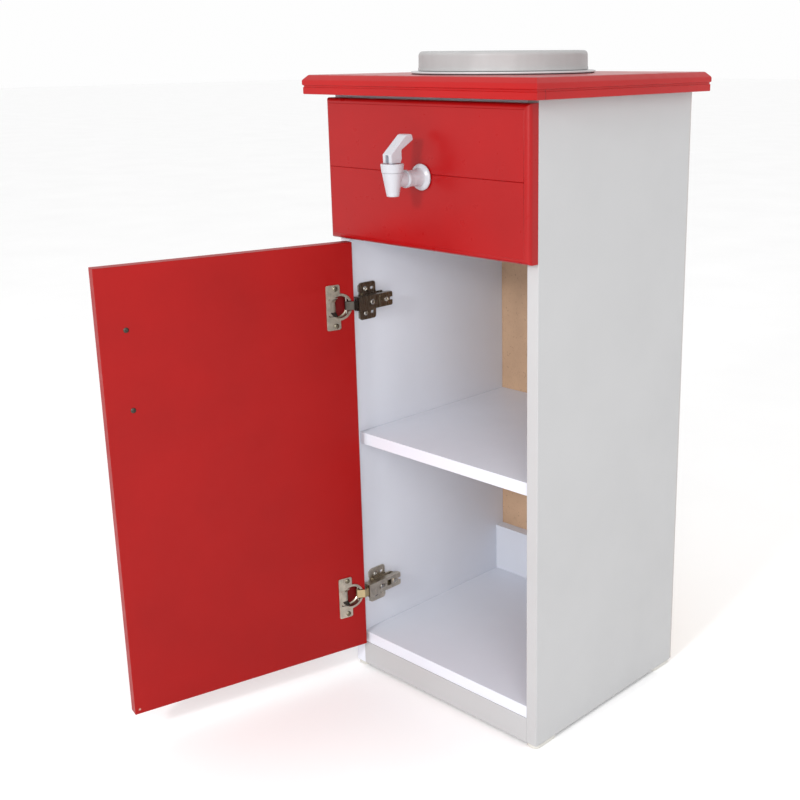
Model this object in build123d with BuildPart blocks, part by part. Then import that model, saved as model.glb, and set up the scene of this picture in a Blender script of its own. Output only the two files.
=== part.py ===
from build123d import *
import math
import os

# Hand-washing water stand: a narrow cabinet with a lidded water tub let into its worktop, a lever tap in
# the fascia and a shelved cupboard behind a door on two concealed hinges. Millimetres, +Z up, the front
# facing -Y, origin on the floor at the centre of the cabinet's footprint. The door is modelled open.

os.makedirs("parts", exist_ok=True)

# Carcass
CABINET_WIDTH = 328.0
BOARD = 16.0
BACK_THICKNESS = 3.0
CABINET_DEPTH = 294.0
FOOT_HEIGHT = 5.0
SIDE_TOP = 780.0
FLOOR_TOP = 54.0
FLOOR_SETBACK = 1.0
SHELF_TOP = 343.0
SHELF_SETBACK = 6.0
DIVIDER_TOP = 620.0
REAR_RAIL_TOP = 125.0
TOP_RAIL_HEIGHT = 40.0

HALF_WIDTH = CABINET_WIDTH / 2
FRONT_Y = -CABINET_DEPTH / 2
REAR_Y = CABINET_DEPTH / 2 - BACK_THICKNESS
SIDE_DEPTH = REAR_Y - FRONT_Y
INNER_HALF = HALF_WIDTH - BOARD
INNER_WIDTH = 2 * INNER_HALF

# Fasteners
DOWEL_RADIUS = 4.0
DOWEL_BITE = 12.0
FIT_GAP = 0.05
DOWEL_INSET = 50.0
SHELF_PIN_RADIUS = 2.5
SHELF_PIN_BITE = 9.0
SHELF_PIN_REACH = 8.0
NAIL_RADIUS = 0.9
NAIL_LENGTH = 16.0
NAIL_HEAD_RADIUS = 2.4
NAIL_HEAD_HEIGHT = 0.8
WORKTOP_SCREW_RADIUS = 2.0
WORKTOP_SCREW_BITE = 14.0

# Worktop
WORKTOP_THICKNESS = 23.0
SIDE_OVERHANG = 24.0
FRONT_OVERHANG = 32.0
REAR_OVERHANG = 4.0
LOWER_BAND = 8.0
LOWER_BAND_SETBACK = 0.8
TOP_BEVEL = 6.5
EDGE_GROOVE_RADIUS = 1.6
EDGE_GROOVE_Z = 10.0

# Fascia
FASCIA_THICKNESS = 17.0
FASCIA_BOTTOM = 604.0
FASCIA_TOP = 776.0
FASCIA_BEVEL_DEPTH = 7.0
FASCIA_BEVEL_WIDTH = 6.0
FASCIA_GROOVE_Z = 693.5
FASCIA_GROOVE_SIZE = 1.2

# Door
DOOR_WIDTH = 323.0
DOOR_BOTTOM = 40.0
DOOR_HEIGHT = 559.0
DOOR_GAP = 3.0
DOOR_EDGE_INSET = 2.5
DOOR_OPEN_ANGLE = 104.0
DOOR_EASE = 0.8
HINGE_LEVELS = {"lower": 117.0, "upper": 518.0}

# Hinge hardware
OPEN_CORNER = (26.5 - HALF_WIDTH, FRONT_Y - 5.0)
CUP_PIN_ALONG = 8.5
CUP_PIN_DEPTH = 5.5
LINK_LENGTH = 16.0
PIN_RADIUS = 1.25
CUP_PIN_LENGTH = 22.6
ARM_PIN_LENGTH = 18.0
CUP_RADIUS = 17.4
CUP_DEPTH = 12.4
CUP_WALL = 0.8
CUP_LIP = 1.2
CUP_EDGE_DISTANCE = 20.5
CUP_FLANGE_WIDTH = 19.5
CUP_FLANGE_HEIGHT = 58.0
CUP_FLANGE_THICKNESS = 1.2
CUP_NOTCH_WIDTH = 14.0
CUP_NOTCH_LENGTH = 28.4
CUP_SCREW_SPACING = 48.0
CUP_SCREW_INSET = 26.5
SCREW_RADIUS = 1.8
SCREW_HEAD_RADIUS = 3.4
SCREW_HEAD_HEIGHT = 1.6
LINK_EYE_RADIUS = 2.2
ARM_SHEET = 1.6
LINK_HEIGHT = 11.0
ARM_HEIGHT = 18.0
ARM_OUTER_X = 29.6 - HALF_WIDTH
ARM_FRONT = 1.0
ARM_LENGTH = 58.0
ARM_FLANGE_DEPTH = 11.3
PLATE_THICKNESS = 2.0
PLATE_WIDTH = 28.0
PLATE_HEIGHT = 49.0
PLATE_FRONT = 12.0
PLATE_SCREW_SPACING = 32.0
PLATE_SCREW_Y = 22.0
PLATE_RIDGE_LENGTH = 44.0
ADJUST_SCREW_POSITIONS = (24.5, 48.5)
ADJUST_SCREW_RADIUS = 2.6

# Handle
HANDLE_INSET = 31.5
HANDLE_SPACING = 96.0
HANDLE_TOP_Z = 525.0
HANDLE_RADIUS = 5.0
HANDLE_REACH = 28.0
HANDLE_CORNER = 10.0
HANDLE_SCREW_RADIUS = 2.0
HANDLE_SCREW_HEAD = 3.2
HANDLE_SCREW_HEAD_HEIGHT = 1.2

# Water tub
TUB_Y = FRONT_Y + 128.0
TUB_TOP_RADIUS = 98.0
TUB_FLOOR_RADIUS = 90.0
TUB_WALL = 2.5
TUB_FLOOR_Z = 640.0
TUB_FLANGE_RADIUS = 112.0
TUB_FLANGE_THICKNESS = 2.5
TUB_GASKET_THICKNESS = 1.0
TUB_RIM_HEIGHT = 18.0
WORKTOP_HOLE_RADIUS = 99.0
LID_RADIUS = 103.0
LID_WALL = 2.2
LID_HEIGHT = 22.8
LID_LIFT_GAP = 0.4
LID_EDGE_RADIUS = 5.0

# Tap
TAP_X = 3.5
TAP_Z = 690.0
TAP_AXIS_Y = FRONT_Y - 63.5
TAP_BODY_TOP = 698.5
TAP_BODY_BOTTOM = 672.0
TAP_BODY_TOP_RADIUS = 11.8
TAP_BODY_BOTTOM_RADIUS = 7.0
TAP_NECK_RADIUS = 8.7
TAP_BORE_RADIUS = 5.0
TAP_OUTLET_RADIUS = 4.5
TAP_CHAMBER_RADIUS = 8.6
TAP_SEAT_Z = 684.0
TAP_COLLAR_RADIUS = 10.2
TAP_COLLAR_LENGTH = 4.0
TAP_COLLAR_Y = FRONT_Y - 43.0
TAP_FLANGE_RADIUS = 15.2
TAP_FLANGE_THICKNESS = 3.0
TAP_GASKET_THICKNESS = 1.5
TAP_GASKET_RADIUS = 12.5
TAP_SHANK_RADIUS = 8.0
TAP_CAP_RADIUS = 13.3
TAP_CAP_BOTTOM = 698.8
TAP_CAP_TOP = 708.7
TAP_STEM_RADIUS = 2.0
TAP_STEM_TOP = 717.0
TAP_PIN_Z = 714.0
TAP_PIN_RADIUS = 1.2
TAP_PIN_LENGTH = 13.0
TAP_SEAL_RADIUS = 6.4
TAP_SEAL_HEIGHT = 5.0
SPRING_WIRE_RADIUS = 0.45
SPRING_RADIUS = 4.0
SPRING_PITCH = 2.6
LEVER_WIDTH = 14.0
LEVER_SLOT = 4.8
LEVER_SLOT_BACK = 5.0
LEVER_SLOT_LENGTH = 13.0
LEVER_SLOT_HEIGHT = 9.8
NUT_RADIUS = 13.0
NUT_THICKNESS = 9.0

# Feet
GLIDE_LENGTH = 40.0
GLIDE_WIDTH = 18.0
GLIDE_CORNER = 7.0

HEIGHT_MID = (FOOT_HEIGHT + SIDE_TOP) / 2
WORKTOP_TOP = SIDE_TOP + WORKTOP_THICKNESS
DIVIDER_MID_Z = DIVIDER_TOP - BOARD / 2
FLOOR_MID_Z = FLOOR_TOP - BOARD / 2
TOP_RAIL_MID_Z = SIDE_TOP - TOP_RAIL_HEIGHT / 2
REAR_RAIL_MID_Z = (REAR_RAIL_TOP + FLOOR_TOP) / 2
FRONT_RAIL_Y = FRONT_Y + BOARD / 2
BACK_RAIL_Y = REAR_Y - BOARD / 2
SHELF_MID_Z = SHELF_TOP - BOARD / 2

# Every dowel that joins a side panel to a cross board, as (y, z)
DOWEL_SPOTS = [
    (FRONT_Y + DOWEL_INSET, FLOOR_MID_Z),
    (REAR_Y - DOWEL_INSET, FLOOR_MID_Z),
    (FRONT_Y + DOWEL_INSET, DIVIDER_MID_Z),
    (REAR_Y - DOWEL_INSET, DIVIDER_MID_Z),
    (FRONT_RAIL_Y, TOP_RAIL_MID_Z),
    (BACK_RAIL_Y, TOP_RAIL_MID_Z),
    (BACK_RAIL_Y, REAR_RAIL_MID_Z + DOWEL_RADIUS),
]
FASCIA_DOWEL_LEVELS = (FASCIA_BOTTOM + 30.0, FASCIA_TOP - 30.0)
SHELF_PIN_YS = (FRONT_Y + DOWEL_INSET, REAR_Y - DOWEL_INSET)
SHELF_PIN_Z = SHELF_TOP - BOARD - SHELF_PIN_RADIUS
FOOT_CENTRES_Y = {"front": FRONT_Y + GLIDE_LENGTH / 2, "rear": REAR_Y - GLIDE_LENGTH / 2}
FOOT_NAIL_OFFSET = 10.0
WORKTOP_SCREW_XS = (-100.0, 100.0)
BACK_NAIL_LEVELS = [60.0, 190.0, 335.0, 470.0, 612.0, 750.0]


def local_plane(x_mm, y_mm, z_mm, normal, x_dir):
    return Plane(origin=(x_mm, y_mm, z_mm), x_dir=x_dir, z_dir=normal)


def across(x_mm, y_mm, z_mm):
    # A plane facing +X with its own X along +Y and its own Y along +Z
    return local_plane(x_mm, y_mm, z_mm, (1, 0, 0), (0, 1, 0))


def facing_rear(x_mm, y_mm, z_mm):
    # A plane facing +Y
    return local_plane(x_mm, y_mm, z_mm, (0, 1, 0), (-1, 0, 0))


# The door frame: own X runs from the hinge edge to the free edge, own Y is up, own Z points out through
# the door's outer face. Its origin is the inner hinge corner where the open door holds it.
swing = math.radians(-DOOR_OPEN_ANGLE)
door_along = (math.cos(swing), math.sin(swing), 0)
door_out = (math.sin(swing), -math.cos(swing), 0)
door_frame = Plane(origin=(*OPEN_CORNER, 0), x_dir=door_along, z_dir=door_out)

# The pin in the cup, with the door open and closed, and the arm's pin one link away from both
cup_pin = (
    OPEN_CORNER[0] + CUP_PIN_ALONG * door_along[0] + CUP_PIN_DEPTH * door_out[0],
    OPEN_CORNER[1] + CUP_PIN_ALONG * door_along[1] + CUP_PIN_DEPTH * door_out[1],
)
closed_cup_pin = (
    DOOR_EDGE_INSET - HALF_WIDTH + CUP_PIN_ALONG,
    FRONT_Y - DOOR_GAP - CUP_PIN_DEPTH,
)
chord_x = cup_pin[0] - closed_cup_pin[0]
chord_y = cup_pin[1] - closed_cup_pin[1]
chord = math.hypot(chord_x, chord_y)
rise = math.sqrt(LINK_LENGTH**2 - (chord / 2) ** 2)
arm_pin = (
    (cup_pin[0] + closed_cup_pin[0]) / 2 - rise * chord_y / chord,
    (cup_pin[1] + closed_cup_pin[1]) / 2 + rise * chord_x / chord,
)
# The link's bends, which lead it round the open door's edge
LINK_BENDS = [
    (28.9 - HALF_WIDTH, FRONT_Y - 1.5),
    (28.7 - HALF_WIDTH, FRONT_Y - 7.5),
    (25.3 - HALF_WIDTH, FRONT_Y - 12.6),
]


def keep(builder, name):
    builder.part.label = name
    export_step(builder.part, f"parts/{name}.step")


# ---------------------------------------------------------------- carcass

for name, sign in (("left", -1), ("right", 1)):
    with BuildPart() as side_panel:
        with Locations((sign * (HALF_WIDTH - BOARD / 2), (FRONT_Y + REAR_Y) / 2, HEIGHT_MID)):
            Box(BOARD, SIDE_DEPTH, SIDE_TOP - FOOT_HEIGHT)
        for dowel_y, dowel_z in DOWEL_SPOTS:
            with BuildSketch(across(sign * INNER_HALF, dowel_y, dowel_z)):
                Circle(DOWEL_RADIUS + FIT_GAP)
            extrude(amount=sign * DOWEL_BITE, mode=Mode.SUBTRACT)
        for pin_y in SHELF_PIN_YS:
            with BuildSketch(across(sign * INNER_HALF, pin_y, SHELF_PIN_Z)):
                Circle(SHELF_PIN_RADIUS + FIT_GAP)
            extrude(amount=sign * SHELF_PIN_BITE, mode=Mode.SUBTRACT)
        for dowel_z in FASCIA_DOWEL_LEVELS:
            with BuildSketch(facing_rear(sign * (HALF_WIDTH - BOARD / 2), FRONT_Y, dowel_z)):
                Circle(DOWEL_RADIUS + FIT_GAP)
            extrude(amount=DOWEL_BITE, mode=Mode.SUBTRACT)
        for foot_y in FOOT_CENTRES_Y.values():
            for offset in (-FOOT_NAIL_OFFSET, FOOT_NAIL_OFFSET):
                with BuildSketch(Plane.XY.offset(FOOT_HEIGHT)):
                    with Locations((sign * (HALF_WIDTH - BOARD / 2), foot_y + offset)):
                        Circle(NAIL_RADIUS)
                extrude(amount=NAIL_LENGTH - 3, mode=Mode.SUBTRACT)
        for nail_z in BACK_NAIL_LEVELS:
            with BuildSketch(facing_rear(sign * (HALF_WIDTH - BOARD / 2), REAR_Y, nail_z)):
                Circle(NAIL_RADIUS)
            extrude(amount=-NAIL_LENGTH + BACK_THICKNESS, mode=Mode.SUBTRACT)
        if sign < 0:
            for hinge_z in HINGE_LEVELS.values():
                for offset in (-PLATE_SCREW_SPACING / 2, PLATE_SCREW_SPACING / 2):
                    with BuildSketch(across(-INNER_HALF, FRONT_Y + PLATE_SCREW_Y, hinge_z + offset)):
                        Circle(SCREW_RADIUS)
                    extrude(amount=-10, mode=Mode.SUBTRACT)
    keep(side_panel, f"side_panel_{name}")

with BuildPart() as floor_panel:
    with Locations((0, (FRONT_Y + FLOOR_SETBACK + REAR_Y) / 2, FLOOR_MID_Z)):
        Box(INNER_WIDTH, SIDE_DEPTH - FLOOR_SETBACK, BOARD)
    for sign in (-1, 1):
        for dowel_y, dowel_z in DOWEL_SPOTS[:2]:
            with BuildSketch(across(sign * INNER_HALF, dowel_y, dowel_z)):
                Circle(DOWEL_RADIUS + FIT_GAP)
            extrude(amount=-sign * DOWEL_BITE, mode=Mode.SUBTRACT)
keep(floor_panel, "floor_panel")

with BuildPart() as plinth_board:
    with Locations((0, FRONT_Y + BOARD / 2, (FOOT_HEIGHT + FLOOR_TOP - BOARD) / 2)):
        Box(INNER_WIDTH, BOARD, FLOOR_TOP - BOARD - FOOT_HEIGHT)
keep(plinth_board, "plinth_board")

with BuildPart() as rear_rail:
    with Locations((0, BACK_RAIL_Y, REAR_RAIL_MID_Z)):
        Box(INNER_WIDTH, BOARD, REAR_RAIL_TOP - FLOOR_TOP)
    for sign in (-1, 1):
        with BuildSketch(across(sign * INNER_HALF, BACK_RAIL_Y, REAR_RAIL_MID_Z + DOWEL_RADIUS)):
            Circle(DOWEL_RADIUS + FIT_GAP)
        extrude(amount=-sign * DOWEL_BITE, mode=Mode.SUBTRACT)
keep(rear_rail, "rear_rail")

with BuildPart() as shelf_board:
    with Locations((0, (FRONT_Y + SHELF_SETBACK + REAR_Y) / 2, SHELF_MID_Z)):
        Box(INNER_WIDTH - 0.6, SIDE_DEPTH - SHELF_SETBACK - 0.6, BOARD)
keep(shelf_board, "shelf_board")

with BuildPart() as divider_panel:
    with Locations((0, (FRONT_Y + REAR_Y) / 2, DIVIDER_MID_Z)):
        Box(INNER_WIDTH, SIDE_DEPTH, BOARD)
    for sign in (-1, 1):
        for dowel_y, dowel_z in DOWEL_SPOTS[2:4]:
            with BuildSketch(across(sign * INNER_HALF, dowel_y, dowel_z)):
                Circle(DOWEL_RADIUS + FIT_GAP)
            extrude(amount=-sign * DOWEL_BITE, mode=Mode.SUBTRACT)
keep(divider_panel, "divider_panel")

for name, rail_y in (("front", FRONT_RAIL_Y), ("rear", BACK_RAIL_Y)):
    with BuildPart() as top_rail:
        with Locations((0, rail_y, TOP_RAIL_MID_Z)):
            Box(INNER_WIDTH, BOARD, TOP_RAIL_HEIGHT)
        for sign in (-1, 1):
            with BuildSketch(across(sign * INNER_HALF, rail_y, TOP_RAIL_MID_Z)):
                Circle(DOWEL_RADIUS + FIT_GAP)
            extrude(amount=-sign * DOWEL_BITE, mode=Mode.SUBTRACT)
        with BuildSketch(Plane.XY.offset(SIDE_TOP - TOP_RAIL_HEIGHT)):
            with Locations(*[(screw_x, rail_y) for screw_x in WORKTOP_SCREW_XS]):
                Circle(WORKTOP_SCREW_RADIUS + FIT_GAP)
        extrude(amount=TOP_RAIL_HEIGHT, mode=Mode.SUBTRACT)
    keep(top_rail, f"top_rail_{name}")

with BuildPart() as back_panel:
    with Locations((0, REAR_Y + BACK_THICKNESS / 2, HEIGHT_MID)):
        Box(CABINET_WIDTH - 1, BACK_THICKNESS, SIDE_TOP - FOOT_HEIGHT - 1)
    for sign in (-1, 1):
        for nail_z in BACK_NAIL_LEVELS:
            with BuildSketch(facing_rear(sign * (HALF_WIDTH - BOARD / 2), REAR_Y, nail_z)):
                Circle(NAIL_RADIUS)
            extrude(amount=BACK_THICKNESS, mode=Mode.SUBTRACT)
keep(back_panel, "back_panel")

with BuildPart() as carcass_dowels:
    for sign in (-1, 1):
        for dowel_y, dowel_z in DOWEL_SPOTS:
            with BuildSketch(across(sign * INNER_HALF, dowel_y, dowel_z)):
                Circle(DOWEL_RADIUS)
            extrude(amount=DOWEL_BITE - 0.5, both=True)
keep(carcass_dowels, "carcass_dowels")

with BuildPart() as shelf_pins:
    for sign in (-1, 1):
        for pin_y in SHELF_PIN_YS:
            with BuildSketch(across(sign * (INNER_HALF - SHELF_PIN_REACH), pin_y, SHELF_PIN_Z)):
                Circle(SHELF_PIN_RADIUS)
            extrude(amount=sign * (SHELF_PIN_REACH + SHELF_PIN_BITE - 0.5))
keep(shelf_pins, "shelf_pins")

with BuildPart() as back_panel_nails:
    for sign in (-1, 1):
        for nail_z in BACK_NAIL_LEVELS:
            nail_plane = facing_rear(sign * (HALF_WIDTH - BOARD / 2), REAR_Y + BACK_THICKNESS, nail_z)
            with BuildSketch(nail_plane):
                Circle(NAIL_RADIUS)
            extrude(amount=-NAIL_LENGTH + 0.5)
            with BuildSketch(nail_plane):
                Circle(NAIL_HEAD_RADIUS)
            extrude(amount=NAIL_HEAD_HEIGHT)
keep(back_panel_nails, "back_panel_nails")

# ---------------------------------------------------------------- feet

for side_name, sign in (("left", -1), ("right", 1)):
    for end_name, foot_y in FOOT_CENTRES_Y.items():
        with BuildPart() as foot_glide:
            with BuildSketch(Plane.XY):
                with Locations((sign * (HALF_WIDTH - GLIDE_WIDTH / 2), foot_y)):
                    RectangleRounded(GLIDE_WIDTH, GLIDE_LENGTH, GLIDE_CORNER)
            extrude(amount=FOOT_HEIGHT)
            chamfer(foot_glide.faces().sort_by(Axis.Z)[0].edges(), length=1.0)
            with BuildSketch(Plane.XY):
                with Locations(
                    (sign * (HALF_WIDTH - BOARD / 2), foot_y - FOOT_NAIL_OFFSET),
                    (sign * (HALF_WIDTH - BOARD / 2), foot_y + FOOT_NAIL_OFFSET),
                ):
                    Circle(NAIL_HEAD_RADIUS + FIT_GAP)
            extrude(amount=2.5, mode=Mode.SUBTRACT)
            with BuildSketch(Plane.XY):
                with Locations(
                    (sign * (HALF_WIDTH - BOARD / 2), foot_y - FOOT_NAIL_OFFSET),
                    (sign * (HALF_WIDTH - BOARD / 2), foot_y + FOOT_NAIL_OFFSET),
                ):
                    Circle(NAIL_RADIUS)
            extrude(amount=FOOT_HEIGHT, mode=Mode.SUBTRACT)
        keep(foot_glide, f"foot_{end_name}_{side_name}")

with BuildPart() as foot_nails:
    for sign in (-1, 1):
        for foot_y in FOOT_CENTRES_Y.values():
            for offset in (-FOOT_NAIL_OFFSET, FOOT_NAIL_OFFSET):
                with BuildSketch(Plane.XY.offset(2.5)):
                    with Locations((sign * (HALF_WIDTH - BOARD / 2), foot_y + offset)):
                        Circle(NAIL_RADIUS)
                extrude(amount=NAIL_LENGTH - 1)
                with BuildSketch(Plane.XY.offset(2.5 - NAIL_HEAD_HEIGHT)):
                    with Locations((sign * (HALF_WIDTH - BOARD / 2), foot_y + offset)):
                        Circle(NAIL_HEAD_RADIUS)
                extrude(amount=NAIL_HEAD_HEIGHT)
keep(foot_nails, "foot_nails")

# ---------------------------------------------------------------- worktop and fascia

WORKTOP_WIDTH = CABINET_WIDTH + 2 * SIDE_OVERHANG
WORKTOP_DEPTH = CABINET_DEPTH + FRONT_OVERHANG + REAR_OVERHANG
WORKTOP_MID_Y = (REAR_OVERHANG - FRONT_OVERHANG) / 2

with BuildPart() as worktop:
    with BuildSketch(Plane.XY.offset(SIDE_TOP)):
        with Locations((0, WORKTOP_MID_Y)):
            Rectangle(WORKTOP_WIDTH - 2 * LOWER_BAND_SETBACK, WORKTOP_DEPTH - 2 * LOWER_BAND_SETBACK)
    extrude(amount=LOWER_BAND)
    with BuildSketch(Plane.XY.offset(SIDE_TOP + LOWER_BAND)):
        with Locations((0, WORKTOP_MID_Y)):
            Rectangle(WORKTOP_WIDTH, WORKTOP_DEPTH)
    extrude(amount=WORKTOP_THICKNESS - LOWER_BAND)
    chamfer(worktop.faces().sort_by(Axis.Z)[-1].edges(), length=TOP_BEVEL)
    # The round-bottomed groove that runs round the four edges
    for edge_x in (-WORKTOP_WIDTH / 2, WORKTOP_WIDTH / 2):
        with BuildSketch(facing_rear(edge_x, WORKTOP_MID_Y, SIDE_TOP + EDGE_GROOVE_Z)):
            Circle(EDGE_GROOVE_RADIUS)
        extrude(amount=WORKTOP_DEPTH / 2, both=True, mode=Mode.SUBTRACT)
    for edge_y in (WORKTOP_MID_Y - WORKTOP_DEPTH / 2, WORKTOP_MID_Y + WORKTOP_DEPTH / 2):
        with BuildSketch(across(0, edge_y, SIDE_TOP + EDGE_GROOVE_Z)):
            Circle(EDGE_GROOVE_RADIUS)
        extrude(amount=WORKTOP_WIDTH / 2, both=True, mode=Mode.SUBTRACT)
    with BuildSketch(Plane.XY.offset(SIDE_TOP)):
        with Locations((0, TUB_Y)):
            Circle(WORKTOP_HOLE_RADIUS)
    extrude(amount=WORKTOP_THICKNESS, mode=Mode.SUBTRACT)
    with BuildSketch(Plane.XY.offset(SIDE_TOP)):
        for rail_y in (FRONT_RAIL_Y, BACK_RAIL_Y):
            with Locations(*[(screw_x, rail_y) for screw_x in WORKTOP_SCREW_XS]):
                Circle(WORKTOP_SCREW_RADIUS)
    extrude(amount=WORKTOP_SCREW_BITE, mode=Mode.SUBTRACT)
keep(worktop, "worktop")

with BuildPart() as worktop_screws:
    for rail_y in (FRONT_RAIL_Y, BACK_RAIL_Y):
        for screw_x in WORKTOP_SCREW_XS:
            with BuildSketch(Plane.XY.offset(SIDE_TOP - TOP_RAIL_HEIGHT)):
                with Locations((screw_x, rail_y)):
                    Circle(WORKTOP_SCREW_RADIUS)
            extrude(amount=TOP_RAIL_HEIGHT + WORKTOP_SCREW_BITE - 0.5)
            with BuildSketch(Plane.XY.offset(SIDE_TOP - TOP_RAIL_HEIGHT - 2)):
                with Locations((screw_x, rail_y)):
                    Circle(2 * WORKTOP_SCREW_RADIUS)
            extrude(amount=2)
keep(worktop_screws, "worktop_screws")

with BuildPart() as fascia_board:
    with Locations((0, FRONT_Y - FASCIA_THICKNESS / 2, (FASCIA_BOTTOM + FASCIA_TOP) / 2)):
        Box(CABINET_WIDTH, FASCIA_THICKNESS, FASCIA_TOP - FASCIA_BOTTOM)
    front_face = fascia_board.faces().sort_by(Axis.Y)[0]
    chamfer(front_face.edges(), length=FASCIA_BEVEL_DEPTH, length2=FASCIA_BEVEL_WIDTH, reference=front_face)
    # The fine groove between the two boards of the front
    with BuildSketch(across(0, FRONT_Y - FASCIA_THICKNESS, FASCIA_GROOVE_Z)):
        Rectangle(FASCIA_GROOVE_SIZE, FASCIA_GROOVE_SIZE, rotation=45)
    extrude(amount=HALF_WIDTH - FASCIA_BEVEL_WIDTH, both=True, mode=Mode.SUBTRACT)
    with BuildSketch(facing_rear(TAP_X, FRONT_Y, TAP_Z)):
        Circle(TAP_SHANK_RADIUS + 0.5)
    extrude(amount=-FASCIA_THICKNESS, mode=Mode.SUBTRACT)
    for sign in (-1, 1):
        for dowel_z in FASCIA_DOWEL_LEVELS:
            with BuildSketch(facing_rear(sign * (HALF_WIDTH - BOARD / 2), FRONT_Y, dowel_z)):
                Circle(DOWEL_RADIUS + FIT_GAP)
            extrude(amount=-10, mode=Mode.SUBTRACT)
keep(fascia_board, "fascia_board")

with BuildPart() as fascia_dowels:
    for sign in (-1, 1):
        for dowel_z in FASCIA_DOWEL_LEVELS:
            with BuildSketch(facing_rear(sign * (HALF_WIDTH - BOARD / 2), FRONT_Y - 9.5, dowel_z)):
                Circle(DOWEL_RADIUS)
            extrude(amount=9.5 + DOWEL_BITE - 0.5)
keep(fascia_dowels, "fascia_dowels")

# ---------------------------------------------------------------- door

with BuildPart() as door_panel:
    with BuildSketch(door_frame):
        with Locations((DOOR_WIDTH / 2, DOOR_BOTTOM + DOOR_HEIGHT / 2)):
            Rectangle(DOOR_WIDTH, DOOR_HEIGHT)
    extrude(amount=BOARD)
    outer_face = door_panel.faces().sort_by(Axis((0, 0, 0), door_out))[-1]
    chamfer(outer_face.edges(), length=DOOR_EASE)
    for hinge_z in HINGE_LEVELS.values():
        with BuildSketch(door_frame):
            with Locations((CUP_EDGE_DISTANCE, hinge_z)):
                Circle(CUP_RADIUS + 0.1)
        extrude(amount=CUP_DEPTH + 0.1, mode=Mode.SUBTRACT)
        with BuildSketch(door_frame):
            for offset in (-CUP_SCREW_SPACING / 2, CUP_SCREW_SPACING / 2):
                with Locations((CUP_SCREW_INSET, hinge_z + offset)):
                    Circle(SCREW_RADIUS)
        extrude(amount=11, mode=Mode.SUBTRACT)
    with BuildSketch(door_frame):
        for handle_z in (HANDLE_TOP_Z, HANDLE_TOP_Z - HANDLE_SPACING):
            with Locations((DOOR_WIDTH - HANDLE_INSET, handle_z)):
                Circle(HANDLE_SCREW_RADIUS + 0.1)
    extrude(amount=BOARD, mode=Mode.SUBTRACT)
keep(door_panel, "door_panel")

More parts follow.
